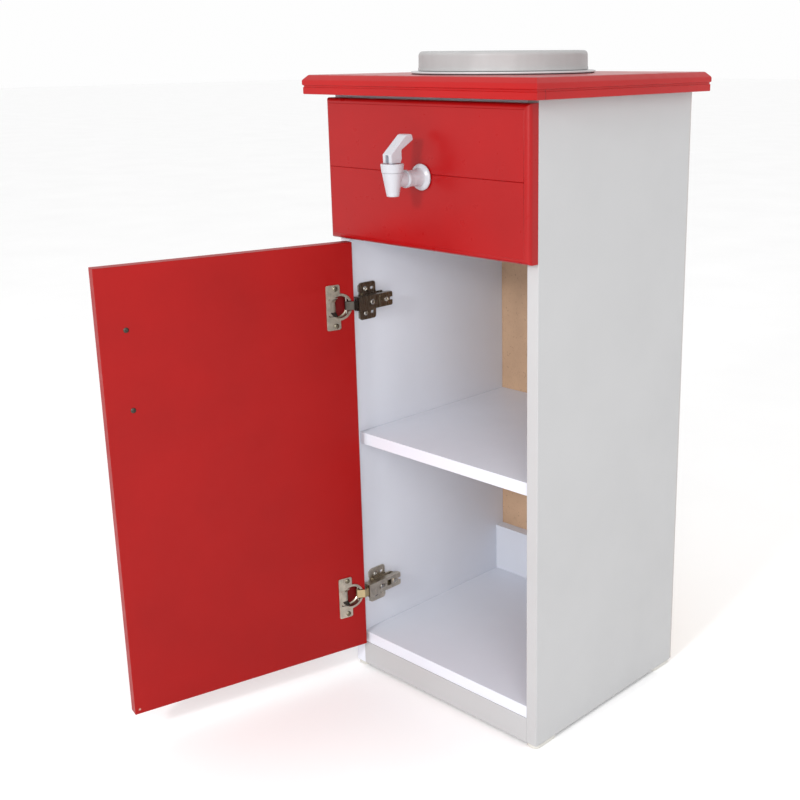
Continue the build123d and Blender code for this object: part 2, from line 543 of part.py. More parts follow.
for name, hinge_z in HINGE_LEVELS.items():
    with BuildPart() as hinge_cup:
        with BuildSketch(door_frame):
            with Locations((CUP_EDGE_DISTANCE, hinge_z)):
                Circle(CUP_RADIUS)
        extrude(amount=CUP_DEPTH)
        # Flange on the door's inner face, over the half of the cup away from the hinge edge
        with BuildSketch(door_frame):
            with Locations((CUP_EDGE_DISTANCE + CUP_FLANGE_WIDTH / 2 - 0.5, hinge_z)):
                RectangleRounded(CUP_FLANGE_WIDTH, CUP_FLANGE_HEIGHT, 2.5)
            with Locations((CUP_EDGE_DISTANCE, hinge_z)):
                Circle(CUP_RADIUS)
        extrude(amount=-CUP_FLANGE_THICKNESS)
        # The cup's hollow; the flange bridges its far part
        with BuildSketch(door_frame):
            with Locations((CUP_EDGE_DISTANCE, hinge_z)):
                Circle(CUP_RADIUS - CUP_WALL)
        extrude(amount=CUP_DEPTH - CUP_WALL, mode=Mode.SUBTRACT)
        with BuildSketch(door_frame):
            with Locations((CUP_EDGE_DISTANCE, hinge_z)):
                Circle(CUP_RADIUS - CUP_WALL - CUP_LIP)
                Rectangle(40, 60, align=(Align.MIN, Align.CENTER), mode=Mode.SUBTRACT)
            with Locations((CUP_EDGE_DISTANCE - CUP_RADIUS, hinge_z)):
                Rectangle(CUP_NOTCH_LENGTH, CUP_NOTCH_WIDTH, align=(Align.MIN, Align.CENTER))
        extrude(amount=-CUP_FLANGE_THICKNESS, mode=Mode.SUBTRACT)
        with BuildSketch(door_frame.offset(-CUP_FLANGE_THICKNESS)):
            for offset in (-CUP_SCREW_SPACING / 2, CUP_SCREW_SPACING / 2):
                with Locations((CUP_SCREW_INSET, hinge_z + offset)):
                    Circle(SCREW_RADIUS)
        extrude(amount=CUP_FLANGE_THICKNESS, mode=Mode.SUBTRACT)
        # The pin's seat through the cup's two side walls
        with Locations((*cup_pin, hinge_z)):
            Cylinder(PIN_RADIUS, CUP_PIN_LENGTH + 1, mode=Mode.SUBTRACT)
    keep(hinge_cup, f"hinge_cup_{name}")

    with BuildPart() as hinge_cup_pin:
        with Locations((*cup_pin, hinge_z)):
            Cylinder(PIN_RADIUS, CUP_PIN_LENGTH)
    keep(hinge_cup_pin, f"hinge_cup_pin_{name}")

    with BuildPart() as hinge_arm_pin:
        with Locations((*arm_pin, hinge_z)):
            Cylinder(PIN_RADIUS, ARM_PIN_LENGTH)
    keep(hinge_arm_pin, f"hinge_arm_pin_{name}")

    # The link: a bent strip with an eye at each end
    with BuildPart() as hinge_link:
        with BuildSketch(Plane.XY.offset(hinge_z - LINK_HEIGHT / 2)):
            with BuildLine():
                Polyline(arm_pin, *LINK_BENDS, cup_pin)
            trace(line_width=ARM_SHEET)
            with Locations(arm_pin, cup_pin):
                Circle(LINK_EYE_RADIUS)
        extrude(amount=LINK_HEIGHT)
        with Locations((*arm_pin, hinge_z), (*cup_pin, hinge_z)):
            Cylinder(PIN_RADIUS + FIT_GAP, LINK_HEIGHT + 2, mode=Mode.SUBTRACT)
    keep(hinge_link, f"hinge_link_{name}")

    # The arm: a channel screwed over the plate, with the link pinned between its front ends
    with BuildPart() as hinge_arm:
        arm_mid_y = FRONT_Y + ARM_FRONT + ARM_LENGTH / 2
        with Locations((ARM_OUTER_X - ARM_SHEET / 2, arm_mid_y, hinge_z)):
            Box(ARM_SHEET, ARM_LENGTH, ARM_HEIGHT)
        for sign in (-1, 1):
            flange_z = hinge_z + sign * (ARM_HEIGHT / 2 - ARM_SHEET / 2)
            with Locations((ARM_OUTER_X - ARM_FLANGE_DEPTH / 2, arm_mid_y, flange_z)):
                Box(ARM_FLANGE_DEPTH, ARM_LENGTH, ARM_SHEET)
        with Locations((*arm_pin, hinge_z)):
            Cylinder(PIN_RADIUS, ARM_PIN_LENGTH, mode=Mode.SUBTRACT)
        # Open slot at the rear end for the fixing screw
        with Locations((ARM_OUTER_X - ARM_SHEET / 2, FRONT_Y + ARM_FRONT + ARM_LENGTH - 3, hinge_z)):
            Box(ARM_SHEET + 1, 6.2, 4.0, mode=Mode.SUBTRACT)
        for screw_y in ADJUST_SCREW_POSITIONS:
            with BuildSketch(across(ARM_OUTER_X - ARM_SHEET, FRONT_Y + screw_y, hinge_z)):
                Circle(ADJUST_SCREW_RADIUS)
            extrude(amount=ARM_SHEET, mode=Mode.SUBTRACT)
    keep(hinge_arm, f"hinge_arm_{name}")

    with BuildPart() as hinge_plate:
        with BuildSketch(across(-INNER_HALF, FRONT_Y + PLATE_FRONT + PLATE_WIDTH / 2, hinge_z)):
            RectangleRounded(PLATE_WIDTH, PLATE_HEIGHT, 4)
        extrude(amount=PLATE_THICKNESS)
        # Ridge that the arm is screwed down onto
        ridge_x = -INNER_HALF + PLATE_THICKNESS
        ridge_top = ARM_OUTER_X - ARM_SHEET
        with BuildSketch(across(ridge_x, FRONT_Y + PLATE_FRONT + PLATE_RIDGE_LENGTH / 2, hinge_z)):
            Rectangle(PLATE_RIDGE_LENGTH, ARM_HEIGHT - 2 * ARM_SHEET - 0.8)
        extrude(amount=ridge_top - ridge_x)
        with Locations((-INNER_HALF + PLATE_THICKNESS / 2, FRONT_Y + PLATE_FRONT + 34, hinge_z)):
            Box(PLATE_THICKNESS, 2 * (PLATE_RIDGE_LENGTH - 34), ARM_HEIGHT - 2 * ARM_SHEET - 0.8)
        for screw_y in ADJUST_SCREW_POSITIONS:
            with BuildSketch(across(ridge_top, FRONT_Y + screw_y, hinge_z)):
                Circle(ADJUST_SCREW_RADIUS)
            extrude(amount=-5, mode=Mode.SUBTRACT)
        for offset in (-PLATE_SCREW_SPACING / 2, PLATE_SCREW_SPACING / 2):
            with BuildSketch(across(-INNER_HALF, FRONT_Y + PLATE_SCREW_Y, hinge_z + offset)):
                Circle(SCREW_RADIUS)
            extrude(amount=PLATE_THICKNESS, mode=Mode.SUBTRACT)
    keep(hinge_plate, f"hinge_plate_{name}")

with BuildPart() as hinge_cup_screws:
    for hinge_z in HINGE_LEVELS.values():
        for offset in (-CUP_SCREW_SPACING / 2, CUP_SCREW_SPACING / 2):
            with BuildSketch(door_frame.offset(-CUP_FLANGE_THICKNESS)):
                with Locations((CUP_SCREW_INSET, hinge_z + offset)):
                    Circle(SCREW_RADIUS)
            extrude(amount=CUP_FLANGE_THICKNESS + 10.5)
            with BuildSketch(door_frame.offset(-CUP_FLANGE_THICKNESS)):
                with Locations((CUP_SCREW_INSET, hinge_z + offset)):
                    Circle(SCREW_HEAD_RADIUS)
            extrude(amount=-SCREW_HEAD_HEIGHT)
keep(hinge_cup_screws, "hinge_cup_screws")

with BuildPart() as hinge_plate_screws:
    for hinge_z in HINGE_LEVELS.values():
        for offset in (-PLATE_SCREW_SPACING / 2, PLATE_SCREW_SPACING / 2):
            head_x = -INNER_HALF + PLATE_THICKNESS
            with BuildSketch(across(head_x, FRONT_Y + PLATE_SCREW_Y, hinge_z + offset)):
                Circle(SCREW_RADIUS)
            extrude(amount=-PLATE_THICKNESS - 9.5)
            with BuildSketch(across(head_x, FRONT_Y + PLATE_SCREW_Y, hinge_z + offset)):
                Circle(SCREW_HEAD_RADIUS)
            extrude(amount=SCREW_HEAD_HEIGHT)
keep(hinge_plate_screws, "hinge_plate_screws")

with BuildPart() as hinge_adjust_screws:
    for hinge_z in HINGE_LEVELS.values():
        for screw_y in ADJUST_SCREW_POSITIONS:
            with BuildSketch(across(ARM_OUTER_X, FRONT_Y + screw_y, hinge_z)):
                Circle(ADJUST_SCREW_RADIUS)
            extrude(amount=-ARM_SHEET - 4.5)
            with BuildSketch(across(ARM_OUTER_X, FRONT_Y + screw_y, hinge_z)):
                Circle(ADJUST_SCREW_RADIUS + 0.9)
            extrude(amount=1.2)
keep(hinge_adjust_screws, "hinge_adjust_screws")

handle_plane = Plane(
    origin=door_frame.from_local_coords(Vector(DOOR_WIDTH - HANDLE_INSET, 0, BOARD)),
    x_dir=door_out,
    z_dir=door_along,
)
with BuildPart() as door_handle:
    # A round bar bent out from the door and back: own X is outward, own Y follows the height
    up = 1 if handle_plane.y_dir.Z > 0 else -1
    low = up * (HANDLE_TOP_Z - HANDLE_SPACING)
    high = up * HANDLE_TOP_Z
    with BuildLine(handle_plane) as handle_path:
        FilletPolyline(
            (0, low),
            (HANDLE_REACH, low),
            (HANDLE_REACH, high),
            (0, high),
            radius=HANDLE_CORNER,
        )
    with BuildSketch(Plane(origin=handle_path.line @ 0, z_dir=handle_path.line % 0)):
        Circle(HANDLE_RADIUS)
    sweep()
    for handle_z in (HANDLE_TOP_Z, HANDLE_TOP_Z - HANDLE_SPACING):
        with BuildSketch(door_frame.offset(BOARD)):
            with Locations((DOOR_WIDTH - HANDLE_INSET, handle_z)):
                Circle(HANDLE_SCREW_RADIUS)
        extrude(amount=9, mode=Mode.SUBTRACT)
keep(door_handle, "door_handle")

with BuildPart() as handle_screws:
    for handle_z in (HANDLE_TOP_Z, HANDLE_TOP_Z - HANDLE_SPACING):
        with BuildSketch(door_frame):
            with Locations((DOOR_WIDTH - HANDLE_INSET, handle_z)):
                Circle(HANDLE_SCREW_RADIUS)
        extrude(amount=BOARD + 8.5)
        with BuildSketch(door_frame):
            with Locations((DOOR_WIDTH - HANDLE_INSET, handle_z)):
                Circle(HANDLE_SCREW_HEAD)
        extrude(amount=-HANDLE_SCREW_HEAD_HEIGHT)
keep(handle_screws, "handle_screws")

# ---------------------------------------------------------------- water tub

TUB_FLANGE_Z = WORKTOP_TOP + TUB_GASKET_THICKNESS
TUB_RIM_Z = TUB_FLANGE_Z + TUB_FLANGE_THICKNESS + TUB_RIM_HEIGHT

tub_section = local_plane(0, TUB_Y, 0, (0, -1, 0), (1, 0, 0))
with BuildPart() as water_tub:
    with BuildSketch(tub_section):
        with BuildLine():
            Polyline(
                (0, TUB_FLOOR_Z),
                (TUB_FLOOR_RADIUS, TUB_FLOOR_Z),
                (TUB_TOP_RADIUS, TUB_FLANGE_Z),
                (TUB_FLANGE_RADIUS, TUB_FLANGE_Z),
                (TUB_FLANGE_RADIUS, TUB_FLANGE_Z + TUB_FLANGE_THICKNESS),
                (TUB_TOP_RADIUS, TUB_FLANGE_Z + TUB_FLANGE_THICKNESS),
                (TUB_TOP_RADIUS, TUB_RIM_Z),
                (TUB_TOP_RADIUS - TUB_WALL, TUB_RIM_Z),
                (TUB_TOP_RADIUS - TUB_WALL, TUB_FLANGE_Z),
                (TUB_FLOOR_RADIUS - TUB_WALL, TUB_FLOOR_Z + TUB_WALL),
                (0, TUB_FLOOR_Z + TUB_WALL),
                close=True,
            )
        make_face()
    revolve(axis=Axis((0, TUB_Y, 0), (0, 0, 1)))
    with BuildSketch(facing_rear(TAP_X, FRONT_Y, TAP_Z)):
        Circle(TAP_SHANK_RADIUS + 0.4)
    extrude(amount=80, mode=Mode.SUBTRACT)
keep(water_tub, "water_tub")

with BuildPart() as tub_gasket:
    with BuildSketch(Plane.XY.offset(WORKTOP_TOP)):
        with Locations((0, TUB_Y)):
            Circle(TUB_FLANGE_RADIUS - 2)
            Circle(WORKTOP_HOLE_RADIUS, mode=Mode.SUBTRACT)
    extrude(amount=TUB_GASKET_THICKNESS)
keep(tub_gasket, "tub_gasket")

LID_BOTTOM = TUB_FLANGE_Z + TUB_FLANGE_THICKNESS + LID_LIFT_GAP
with BuildPart() as tub_lid:
    with BuildSketch(Plane.XY.offset(LID_BOTTOM)):
        with Locations((0, TUB_Y)):
            Circle(LID_RADIUS)
    extrude(amount=LID_HEIGHT)
    fillet(tub_lid.faces().sort_by(Axis.Z)[-1].edges(), radius=LID_EDGE_RADIUS)
    with BuildSketch(Plane.XY.offset(LID_BOTTOM)):
        with Locations((0, TUB_Y)):
            Circle(LID_RADIUS - LID_WALL)
    extrude(amount=LID_HEIGHT - LID_EDGE_RADIUS, mode=Mode.SUBTRACT)
    with BuildSketch(Plane.XY.offset(LID_BOTTOM + LID_HEIGHT - LID_EDGE_RADIUS)):
        with Locations((0, TUB_Y)):
            Circle(LID_RADIUS - LID_WALL - LID_EDGE_RADIUS)
    extrude(amount=LID_EDGE_RADIUS - LID_WALL, mode=Mode.SUBTRACT)
keep(tub_lid, "tub_lid")

# ---------------------------------------------------------------- tap

FASCIA_FACE_Y = FRONT_Y - FASCIA_THICKNESS
TAP_FLANGE_Y = FASCIA_FACE_Y - TAP_GASKET_THICKNESS
tub_wall_radius = TUB_FLOOR_RADIUS + (TUB_TOP_RADIUS - TUB_FLOOR_RADIUS) * (
    (TAP_Z - TUB_FLOOR_Z) / (TUB_FLANGE_Z - TUB_FLOOR_Z)
)
TUB_FRONT_Y = TUB_Y - math.sqrt((tub_wall_radius - TUB_WALL) ** 2 - TAP_X ** 2)
INNER_GASKET_Y = TUB_FRONT_Y + 2.2
NUT_Y = INNER_GASKET_Y + 2.0
SHANK_END_Y = NUT_Y + NUT_THICKNESS + 3.0

tap_column = local_plane(TAP_X, TAP_AXIS_Y, 0, (0, -1, 0), (1, 0, 0))
with BuildPart() as tap_body:
    with BuildSketch(tap_column):
        with BuildLine():
            Polyline(
                (0, TAP_BODY_BOTTOM),
                (TAP_BODY_BOTTOM_RADIUS, TAP_BODY_BOTTOM),
                (TAP_BODY_TOP_RADIUS, TAP_BODY_TOP),
                (TAP_CAP_RADIUS - 2.4, TAP_BODY_TOP),
                (TAP_CAP_RADIUS - 2.4, TAP_CAP_TOP - 2.2),
                (0, TAP_CAP_TOP - 2.2),
                close=True,
            )
        make_face()
    revolve(axis=Axis((TAP_X, TAP_AXIS_Y, 0), (0, 0, 1)))
    with BuildSketch(facing_rear(TAP_X, TAP_AXIS_Y, TAP_Z)):
        Circle(TAP_NECK_RADIUS)
    extrude(amount=TAP_FLANGE_Y - TAP_AXIS_Y)
    with BuildSketch(facing_rear(TAP_X, TAP_COLLAR_Y - TAP_COLLAR_LENGTH / 2, TAP_Z)):
        Circle(TAP_COLLAR_RADIUS)
    extrude(amount=TAP_COLLAR_LENGTH)
    with BuildSketch(facing_rear(TAP_X, TAP_FLANGE_Y - TAP_FLANGE_THICKNESS, TAP_Z)):
        Circle(TAP_FLANGE_RADIUS)
    extrude(amount=TAP_FLANGE_THICKNESS)
    with BuildSketch(facing_rear(TAP_X, TAP_FLANGE_Y, TAP_Z)):
        Circle(TAP_SHANK_RADIUS)
    extrude(amount=SHANK_END_Y - TAP_FLANGE_Y)
    # Waterway: along the shank and neck, into the valve chamber and down through the outlet
    with BuildSketch(facing_rear(TAP_X, TAP_AXIS_Y, TAP_Z)):
        Circle(TAP_BORE_RADIUS)
    extrude(amount=SHANK_END_Y - TAP_AXIS_Y, mode=Mode.SUBTRACT)
    with BuildSketch(Plane.XY.offset(TAP_SEAT_Z)):
        with Locations((TAP_X, TAP_AXIS_Y)):
            Circle(TAP_CHAMBER_RADIUS)
    extrude(amount=TAP_CAP_TOP - TAP_SEAT_Z, mode=Mode.SUBTRACT)
    with BuildSketch(Plane.XY.offset(TAP_BODY_BOTTOM)):
        with Locations((TAP_X, TAP_AXIS_Y)):
            Circle(TAP_OUTLET_RADIUS)
    extrude(amount=TAP_SEAT_Z - TAP_BODY_BOTTOM, mode=Mode.SUBTRACT)
keep(tap_body, "tap_body")

with BuildPart() as tap_cap:
    with BuildSketch(Plane.XY.offset(TAP_CAP_BOTTOM)):
        with Locations((TAP_X, TAP_AXIS_Y)):
            Circle(TAP_CAP_RADIUS)
    extrude(amount=TAP_CAP_TOP - TAP_CAP_BOTTOM)
    fillet(tap_cap.faces().sort_by(Axis.Z)[-1].edges(), radius=0.8)
    with BuildSketch(Plane.XY.offset(TAP_CAP_BOTTOM)):
        with Locations((TAP_X, TAP_AXIS_Y)):
            Circle(TAP_CAP_RADIUS - 2.0)
    extrude(amount=TAP_CAP_TOP - 2.0 - TAP_CAP_BOTTOM, mode=Mode.SUBTRACT)
    with BuildSketch(Plane.XY.offset(TAP_CAP_BOTTOM)):
        with Locations((TAP_X, TAP_AXIS_Y)):
            Circle(TAP_STEM_RADIUS + FIT_GAP)
    extrude(amount=TAP_CAP_TOP - TAP_CAP_BOTTOM, mode=Mode.SUBTRACT)
keep(tap_cap, "tap_cap")

SEAL_BOTTOM = TAP_SEAT_Z + 0.1
SEAL_TOP = SEAL_BOTTOM + TAP_SEAL_HEIGHT
with BuildPart() as tap_valve_seal:
    with BuildSketch(Plane.XY.offset(SEAL_BOTTOM)):
        with Locations((TAP_X, TAP_AXIS_Y)):
            Circle(TAP_SEAL_RADIUS)
    extrude(amount=TAP_SEAL_HEIGHT)
    chamfer(tap_valve_seal.faces().sort_by(Axis.Z)[-1].edges(), length=1.2)
    with BuildSketch(Plane.XY.offset(SEAL_BOTTOM + 1.5)):
        with Locations((TAP_X, TAP_AXIS_Y)):
            Circle(TAP_STEM_RADIUS)
    extrude(amount=TAP_SEAL_HEIGHT, mode=Mode.SUBTRACT)
keep(tap_valve_seal, "tap_valve_seal")

with BuildPart() as tap_stem:
    with BuildSketch(Plane.XY.offset(SEAL_BOTTOM + 1.5)):
        with Locations((TAP_X, TAP_AXIS_Y)):
            Circle(TAP_STEM_RADIUS)
    extrude(amount=TAP_STEM_TOP - SEAL_BOTTOM - 1.5)
    fillet(tap_stem.faces().sort_by(Axis.Z)[-1].edges(), radius=0.6)
    with BuildSketch(across(TAP_X, TAP_AXIS_Y, TAP_PIN_Z)):
        Circle(TAP_PIN_RADIUS + FIT_GAP)
    extrude(amount=2 * TAP_STEM_RADIUS, both=True, mode=Mode.SUBTRACT)
keep(tap_stem, "tap_stem")

with BuildPart() as tap_lever_pin:
    with BuildSketch(across(TAP_X, TAP_AXIS_Y, TAP_PIN_Z)):
        Circle(TAP_PIN_RADIUS)
    extrude(amount=TAP_PIN_LENGTH / 2, both=True)
keep(tap_lever_pin, "tap_lever_pin")

SPRING_BOTTOM = SEAL_TOP + SPRING_WIRE_RADIUS + 0.1
SPRING_HEIGHT = TAP_CAP_TOP - 2.0 - SPRING_WIRE_RADIUS - 0.1 - SPRING_BOTTOM
with BuildPart() as tap_spring:
    with BuildLine(Plane.XY.offset(SPRING_BOTTOM).move(Location((TAP_X, TAP_AXIS_Y, 0)))) as coil:
        Helix(pitch=SPRING_PITCH, height=SPRING_HEIGHT, radius=SPRING_RADIUS)
    with BuildSketch(Plane(origin=coil.line @ 0, z_dir=coil.line % 0)):
        Circle(SPRING_WIRE_RADIUS)
    sweep(is_frenet=True)
keep(tap_spring, "tap_spring")

# Lever outline as (distance behind the tap's axis, height above the cap)
LEVER_OUTLINE = [
    (-7.5, 0.3),
    (-7.5, 10.5),
    (19.0, 31.5),
    (24.0, 31.5),
    (26.5, 28.5),
    (26.5, 24.5),
    (7.5, 14.8),
    (7.5, 0.3),
]
with BuildPart() as tap_lever:
    with BuildSketch(across(TAP_X, TAP_AXIS_Y, TAP_CAP_TOP)):
        with BuildLine():
            Polyline(*LEVER_OUTLINE, close=True)
        make_face()
    extrude(amount=LEVER_WIDTH / 2, both=True)
    # Front slot that takes the stem
    with BuildSketch(Plane.XY.offset(TAP_CAP_TOP)):
        with Locations((TAP_X, TAP_AXIS_Y + LEVER_SLOT_BACK)):
            Rectangle(LEVER_SLOT, LEVER_SLOT_LENGTH, align=(Align.CENTER, Align.MAX))
    extrude(amount=LEVER_SLOT_HEIGHT, mode=Mode.SUBTRACT)
    with BuildSketch(across(TAP_X, TAP_AXIS_Y, TAP_PIN_Z)):
        Circle(TAP_PIN_RADIUS)
    extrude(amount=TAP_PIN_LENGTH / 2, both=True, mode=Mode.SUBTRACT)
keep(tap_lever, "tap_lever")

with BuildPart() as tap_outer_gasket:
    with BuildSketch(facing_rear(TAP_X, TAP_FLANGE_Y, TAP_Z)):
        Circle(TAP_GASKET_RADIUS)
        Circle(TAP_SHANK_RADIUS + 0.1, mode=Mode.SUBTRACT)
    extrude(amount=TAP_GASKET_THICKNESS)
keep(tap_outer_gasket, "tap_outer_gasket")

with BuildPart() as tap_inner_gasket:
    with BuildSketch(facing_rear(TAP_X, INNER_GASKET_Y, TAP_Z)):
        Circle(TAP_GASKET_RADIUS)
        Circle(TAP_SHANK_RADIUS + 0.1, mode=Mode.SUBTRACT)
    extrude(amount=2.0)
keep(tap_inner_gasket, "tap_inner_gasket")

with BuildPart() as tap_nut:
    with BuildSketch(facing_rear(TAP_X, NUT_Y, TAP_Z)):
        RegularPolygon(NUT_RADIUS, 6)
        Circle(TAP_SHANK_RADIUS + 0.1, mode=Mode.SUBTRACT)
    extrude(amount=NUT_THICKNESS)
keep(tap_nut, "tap_nut")
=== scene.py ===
"""Looks of the hand-washing water stand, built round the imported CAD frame. Metres, the frame's own axes."""

import math

import bmesh
import bpy
from mathutils import Matrix, Vector


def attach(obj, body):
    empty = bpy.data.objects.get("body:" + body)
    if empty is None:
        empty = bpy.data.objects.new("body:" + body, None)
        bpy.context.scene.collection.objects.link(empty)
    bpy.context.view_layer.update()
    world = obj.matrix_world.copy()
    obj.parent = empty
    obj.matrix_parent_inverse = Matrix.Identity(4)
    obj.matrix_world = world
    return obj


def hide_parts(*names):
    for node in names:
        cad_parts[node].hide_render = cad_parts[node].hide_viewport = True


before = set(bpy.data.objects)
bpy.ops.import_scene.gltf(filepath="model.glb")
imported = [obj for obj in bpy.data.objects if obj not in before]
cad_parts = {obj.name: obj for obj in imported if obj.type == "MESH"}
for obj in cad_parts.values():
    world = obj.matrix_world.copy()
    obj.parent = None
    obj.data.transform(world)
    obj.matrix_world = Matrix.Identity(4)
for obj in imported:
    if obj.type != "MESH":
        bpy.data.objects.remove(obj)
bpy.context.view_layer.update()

MM = 0.001

# ---------------------------------------------------------------- sizes, in millimetres

HALF_WIDTH = 164.0
FRONT_Y = -147.0
INNER_HALF = 148.0
SIDE_TOP = 780.0

WORKTOP_THICKNESS = 23.0
WORKTOP_HALF_X = 188.0
WORKTOP_FRONT_Y = -179.0
WORKTOP_REAR_Y = 151.0
TUB_Y = -19.0
HOLE_RADIUS = 99.0

FASCIA_FACE_Y = -164.0
FASCIA_BOTTOM = 604.0
FASCIA_TOP = 776.0
FASCIA_GROOVE_Z = 693.5

DOOR_OPEN_ANGLE = 104.0
DOOR_CORNER = (-137.5, -152.0)
DOOR_THICKNESS = 16.0
HINGE_LEVELS = {"lower": 117.0, "upper": 518.0}
HANDLE_ALONG = 291.5
HANDLE_LEVELS = (429.0, 525.0)
HANDLE_REACH = 28.0
HANDLE_BEND = 10.0
HANDLE_RADIUS = 5.0

TAP_X = 3.5
TAP_AXIS_Y = -210.5
TAP_Z = 690.0
LEVER_SEAT_Z = 708.7
LEVER_HALF = 7.0

# ---------------------------------------------------------------- mesh helpers


def place(origin_mm, x_dir, z_dir):
    """A local frame with its origin in millimetres, as a matrix from local millimetres to metres."""
    z_axis = Vector(z_dir).normalized()
    x_axis = Vector(x_dir).normalized()
    y_axis = z_axis.cross(x_axis)
    turn = Matrix((x_axis, y_axis, z_axis)).transposed().to_4x4()
    return Matrix.Translation(Vector(origin_mm) * MM) @ turn @ Matrix.Scale(MM, 4)


def upright(x, y, z):
    """A frame with the cabinet's own axes."""
    return place((x, y, z), (1, 0, 0), (0, 0, 1))


def sideways(x, y, z):
    """A frame whose own X runs to the rear, own Y up and own Z to the right."""
    return place((x, y, z), (0, 1, 0), (1, 0, 0))


swing = math.radians(-DOOR_OPEN_ANGLE)
DOOR_ALONG = Vector((math.cos(swing), math.sin(swing), 0))
DOOR_OUT = Vector((math.sin(swing), -math.cos(swing), 0))
# Door frame: own X along the door from its hinge edge, own Y up, own Z out through its outer face
DOOR = place((*DOOR_CORNER, 0), DOOR_ALONG, DOOR_OUT)


def rounded(points, radius, steps=5, closed=True):
    """The outline with each corner turned into an arc. A point may carry its own radius as a third number."""
    result = []
    count = len(points)
    for index, point in enumerate(points):
        corner = Vector(point[:2])
        size = point[2] if len(point) > 2 else radius
        at_end = not closed and index in (0, count - 1)
        if size <= 0 or at_end:
            result.append(tuple(corner))
            continue
        before = Vector(points[index - 1][:2]) - corner
        after = Vector(points[(index + 1) % count][:2]) - corner
        angle = before.angle(after)
        reach = min(size / math.tan(angle / 2), 0.49 * before.length, 0.49 * after.length)
        size = reach * math.tan(angle / 2)
        start = corner + before.normalized() * reach
        end = corner + after.normalized() * reach
        inward = (before.normalized() + after.normalized()).normalized()
        middle = corner + inward * (size / math.sin(angle / 2))
        first = start - middle
        turn = math.pi - angle
        if first.x * (end - middle).y - first.y * (end - middle).x < 0:
            turn = -turn
        for step in range(steps + 1):
            part = turn * step / steps
            result.append(
                (
                    middle.x + first.x * math.cos(part) - first.y * math.sin(part),
                    middle.y + first.x * math.sin(part) + first.y * math.cos(part),
                )
            )
    return result


def rectangle(x_low, x_high, y_low, y_high):
    return [(x_low, y_low), (x_high, y_low), (x_high, y_high), (x_low, y_high)]


def circle(x_mm, y_mm, radius, steps=32):
    return [
        (x_mm + radius * math.cos(math.tau * i / steps), y_mm + radius * math.sin(math.tau * i / steps))
        for i in range(steps)
    ]


def strip(path, thickness):
    """The outline of a bent strip of this thickness along an open path."""
    left, right = [], []
    for index, point in enumerate(path):
        here = Vector(point)
        back = (here - Vector(path[index - 1])).normalized() if index else None
        ahead = (Vector(path[index + 1]) - here).normalized() if index < len(path) - 1 else None
        along = ((back or ahead) + (ahead or back)).normalized()
        normal = Vector((-along.y, along.x))
        stretch = 1 / max(0.3, normal.dot(Vector((-(ahead or back).y, (ahead or back).x))))
        left.append(tuple(here + normal * thickness / 2 * stretch))
        right.append(tuple(here - normal * thickness / 2 * stretch))
    return left + right[::-1]


def add_ring(bm, where, outline, height):
    return [bm.verts.new(where @ Vector((x, y, height))) for x, y in outline]


def join_rings(bm, rings):
    """A band of four-sided faces from each ring of points to the next."""
    for low, high in zip(rings, rings[1:]):
        for i in range(len(low)):
            j = (i + 1) % len(low)
            bm.faces.new((low[i], low[j], high[j], high[i]))


def fill_flat(bm, loops):
    """Fills an outline, less the holes that follow it."""
    edges = [bm.edges.get((loop[i - 1], loop[i])) for loop in loops for i in range(len(loop))]
    bmesh.ops.triangle_fill(bm, use_beauty=True, use_dissolve=False, edges=edges)


def add_prism(bm, where, outline, low, high, holes=()):
    """An outline in the frame's own X and Y, from one height to the other, with holes through it."""
    levels = [[add_ring(bm, where, loop, height) for loop in (outline, *holes)] for height in (low, high)]
    for pair in zip(*levels):
        join_rings(bm, pair)
    for level in levels:
        if holes:
            fill_flat(bm, level)
        else:
            bm.faces.new(level[0])


def add_pair(bm, where, outline, near, far):
    """The same prism on both sides of the frame's own zero height."""
    for side in (-1, 1):
        add_prism(bm, where, outline, *sorted((side * near, side * far)))


def add_loft(bm, sections):
    """A closed solid through equal rings of points in metres."""
    rings = [[bm.verts.new(point) for point in section] for section in sections]
    join_rings(bm, rings)
    bm.faces.new(rings[0])
    bm.faces.new(rings[-1])


def add_lathe(bm, where, profile, steps=64):
    """A closed or open profile of (radius, height) turned round the frame's own Z."""
    rings = []
    for radius, height in profile:
        if radius < 1e-6:
            rings.append([bm.verts.new(where @ Vector((0, 0, height)))])
            continue
        rings.append(
            [
                bm.verts.new(
                    where @ Vector((radius * math.cos(a), radius * math.sin(a), height))
                )
                for a in (math.tau * i / steps for i in range(steps))
            ]
        )
    for low, high in zip(rings, rings[1:]):
        for i in range(steps):
            j = (i + 1) % steps
            corners = [low[i % len(low)], low[j % len(low)], high[j % len(high)], high[i % len(high)]]
            unique = list(dict.fromkeys(corners))
            if len(unique) > 2:
                bm.faces.new(unique)


def add_tube(bm, points, radius, steps=20):
    """A round bar along points in metres, closed at both ends."""
    sections = []
    side = None
    for index, point in enumerate(points):
        ahead = points[min(index + 1, len(points) - 1)] - points[max(index - 1, 0)]
        along = ahead.normalized()
        if side is None:
            side = along.orthogonal().normalized()
        side = (side - along * side.dot(along)).normalized()
        other = along.cross(side)
        sections.append(
            [
                point + (side * math.cos(a) + other * math.sin(a)) * radius * MM
                for a in (math.tau * i / steps for i in range(steps))
            ]
        )
    add_loft(bm, sections)


def settle(obj):
    """Turns the object's modifiers into its mesh."""
    graph = bpy.context.evaluated_depsgraph_get()
    mesh = bpy.data.meshes.new_from_object(obj.evaluated_get(graph))
    obj.modifiers.clear()
    obj.data = mesh


def object_from(name, bm):
    mesh = bpy.data.meshes.new(name)
    bm.to_mesh(mesh)
    bm.free()
    obj = bpy.data.objects.new(name, mesh)
    bpy.context.collection.objects.link(obj)
    return obj


def mesh_object(name, build):
    bm = bmesh.new()
    build(bm)
    bmesh.ops.remove_doubles(bm, verts=bm.verts, dist=0.002 * MM)
    bmesh.ops.recalc_face_normals(bm, faces=bm.faces)
    return object_from(name, bm)


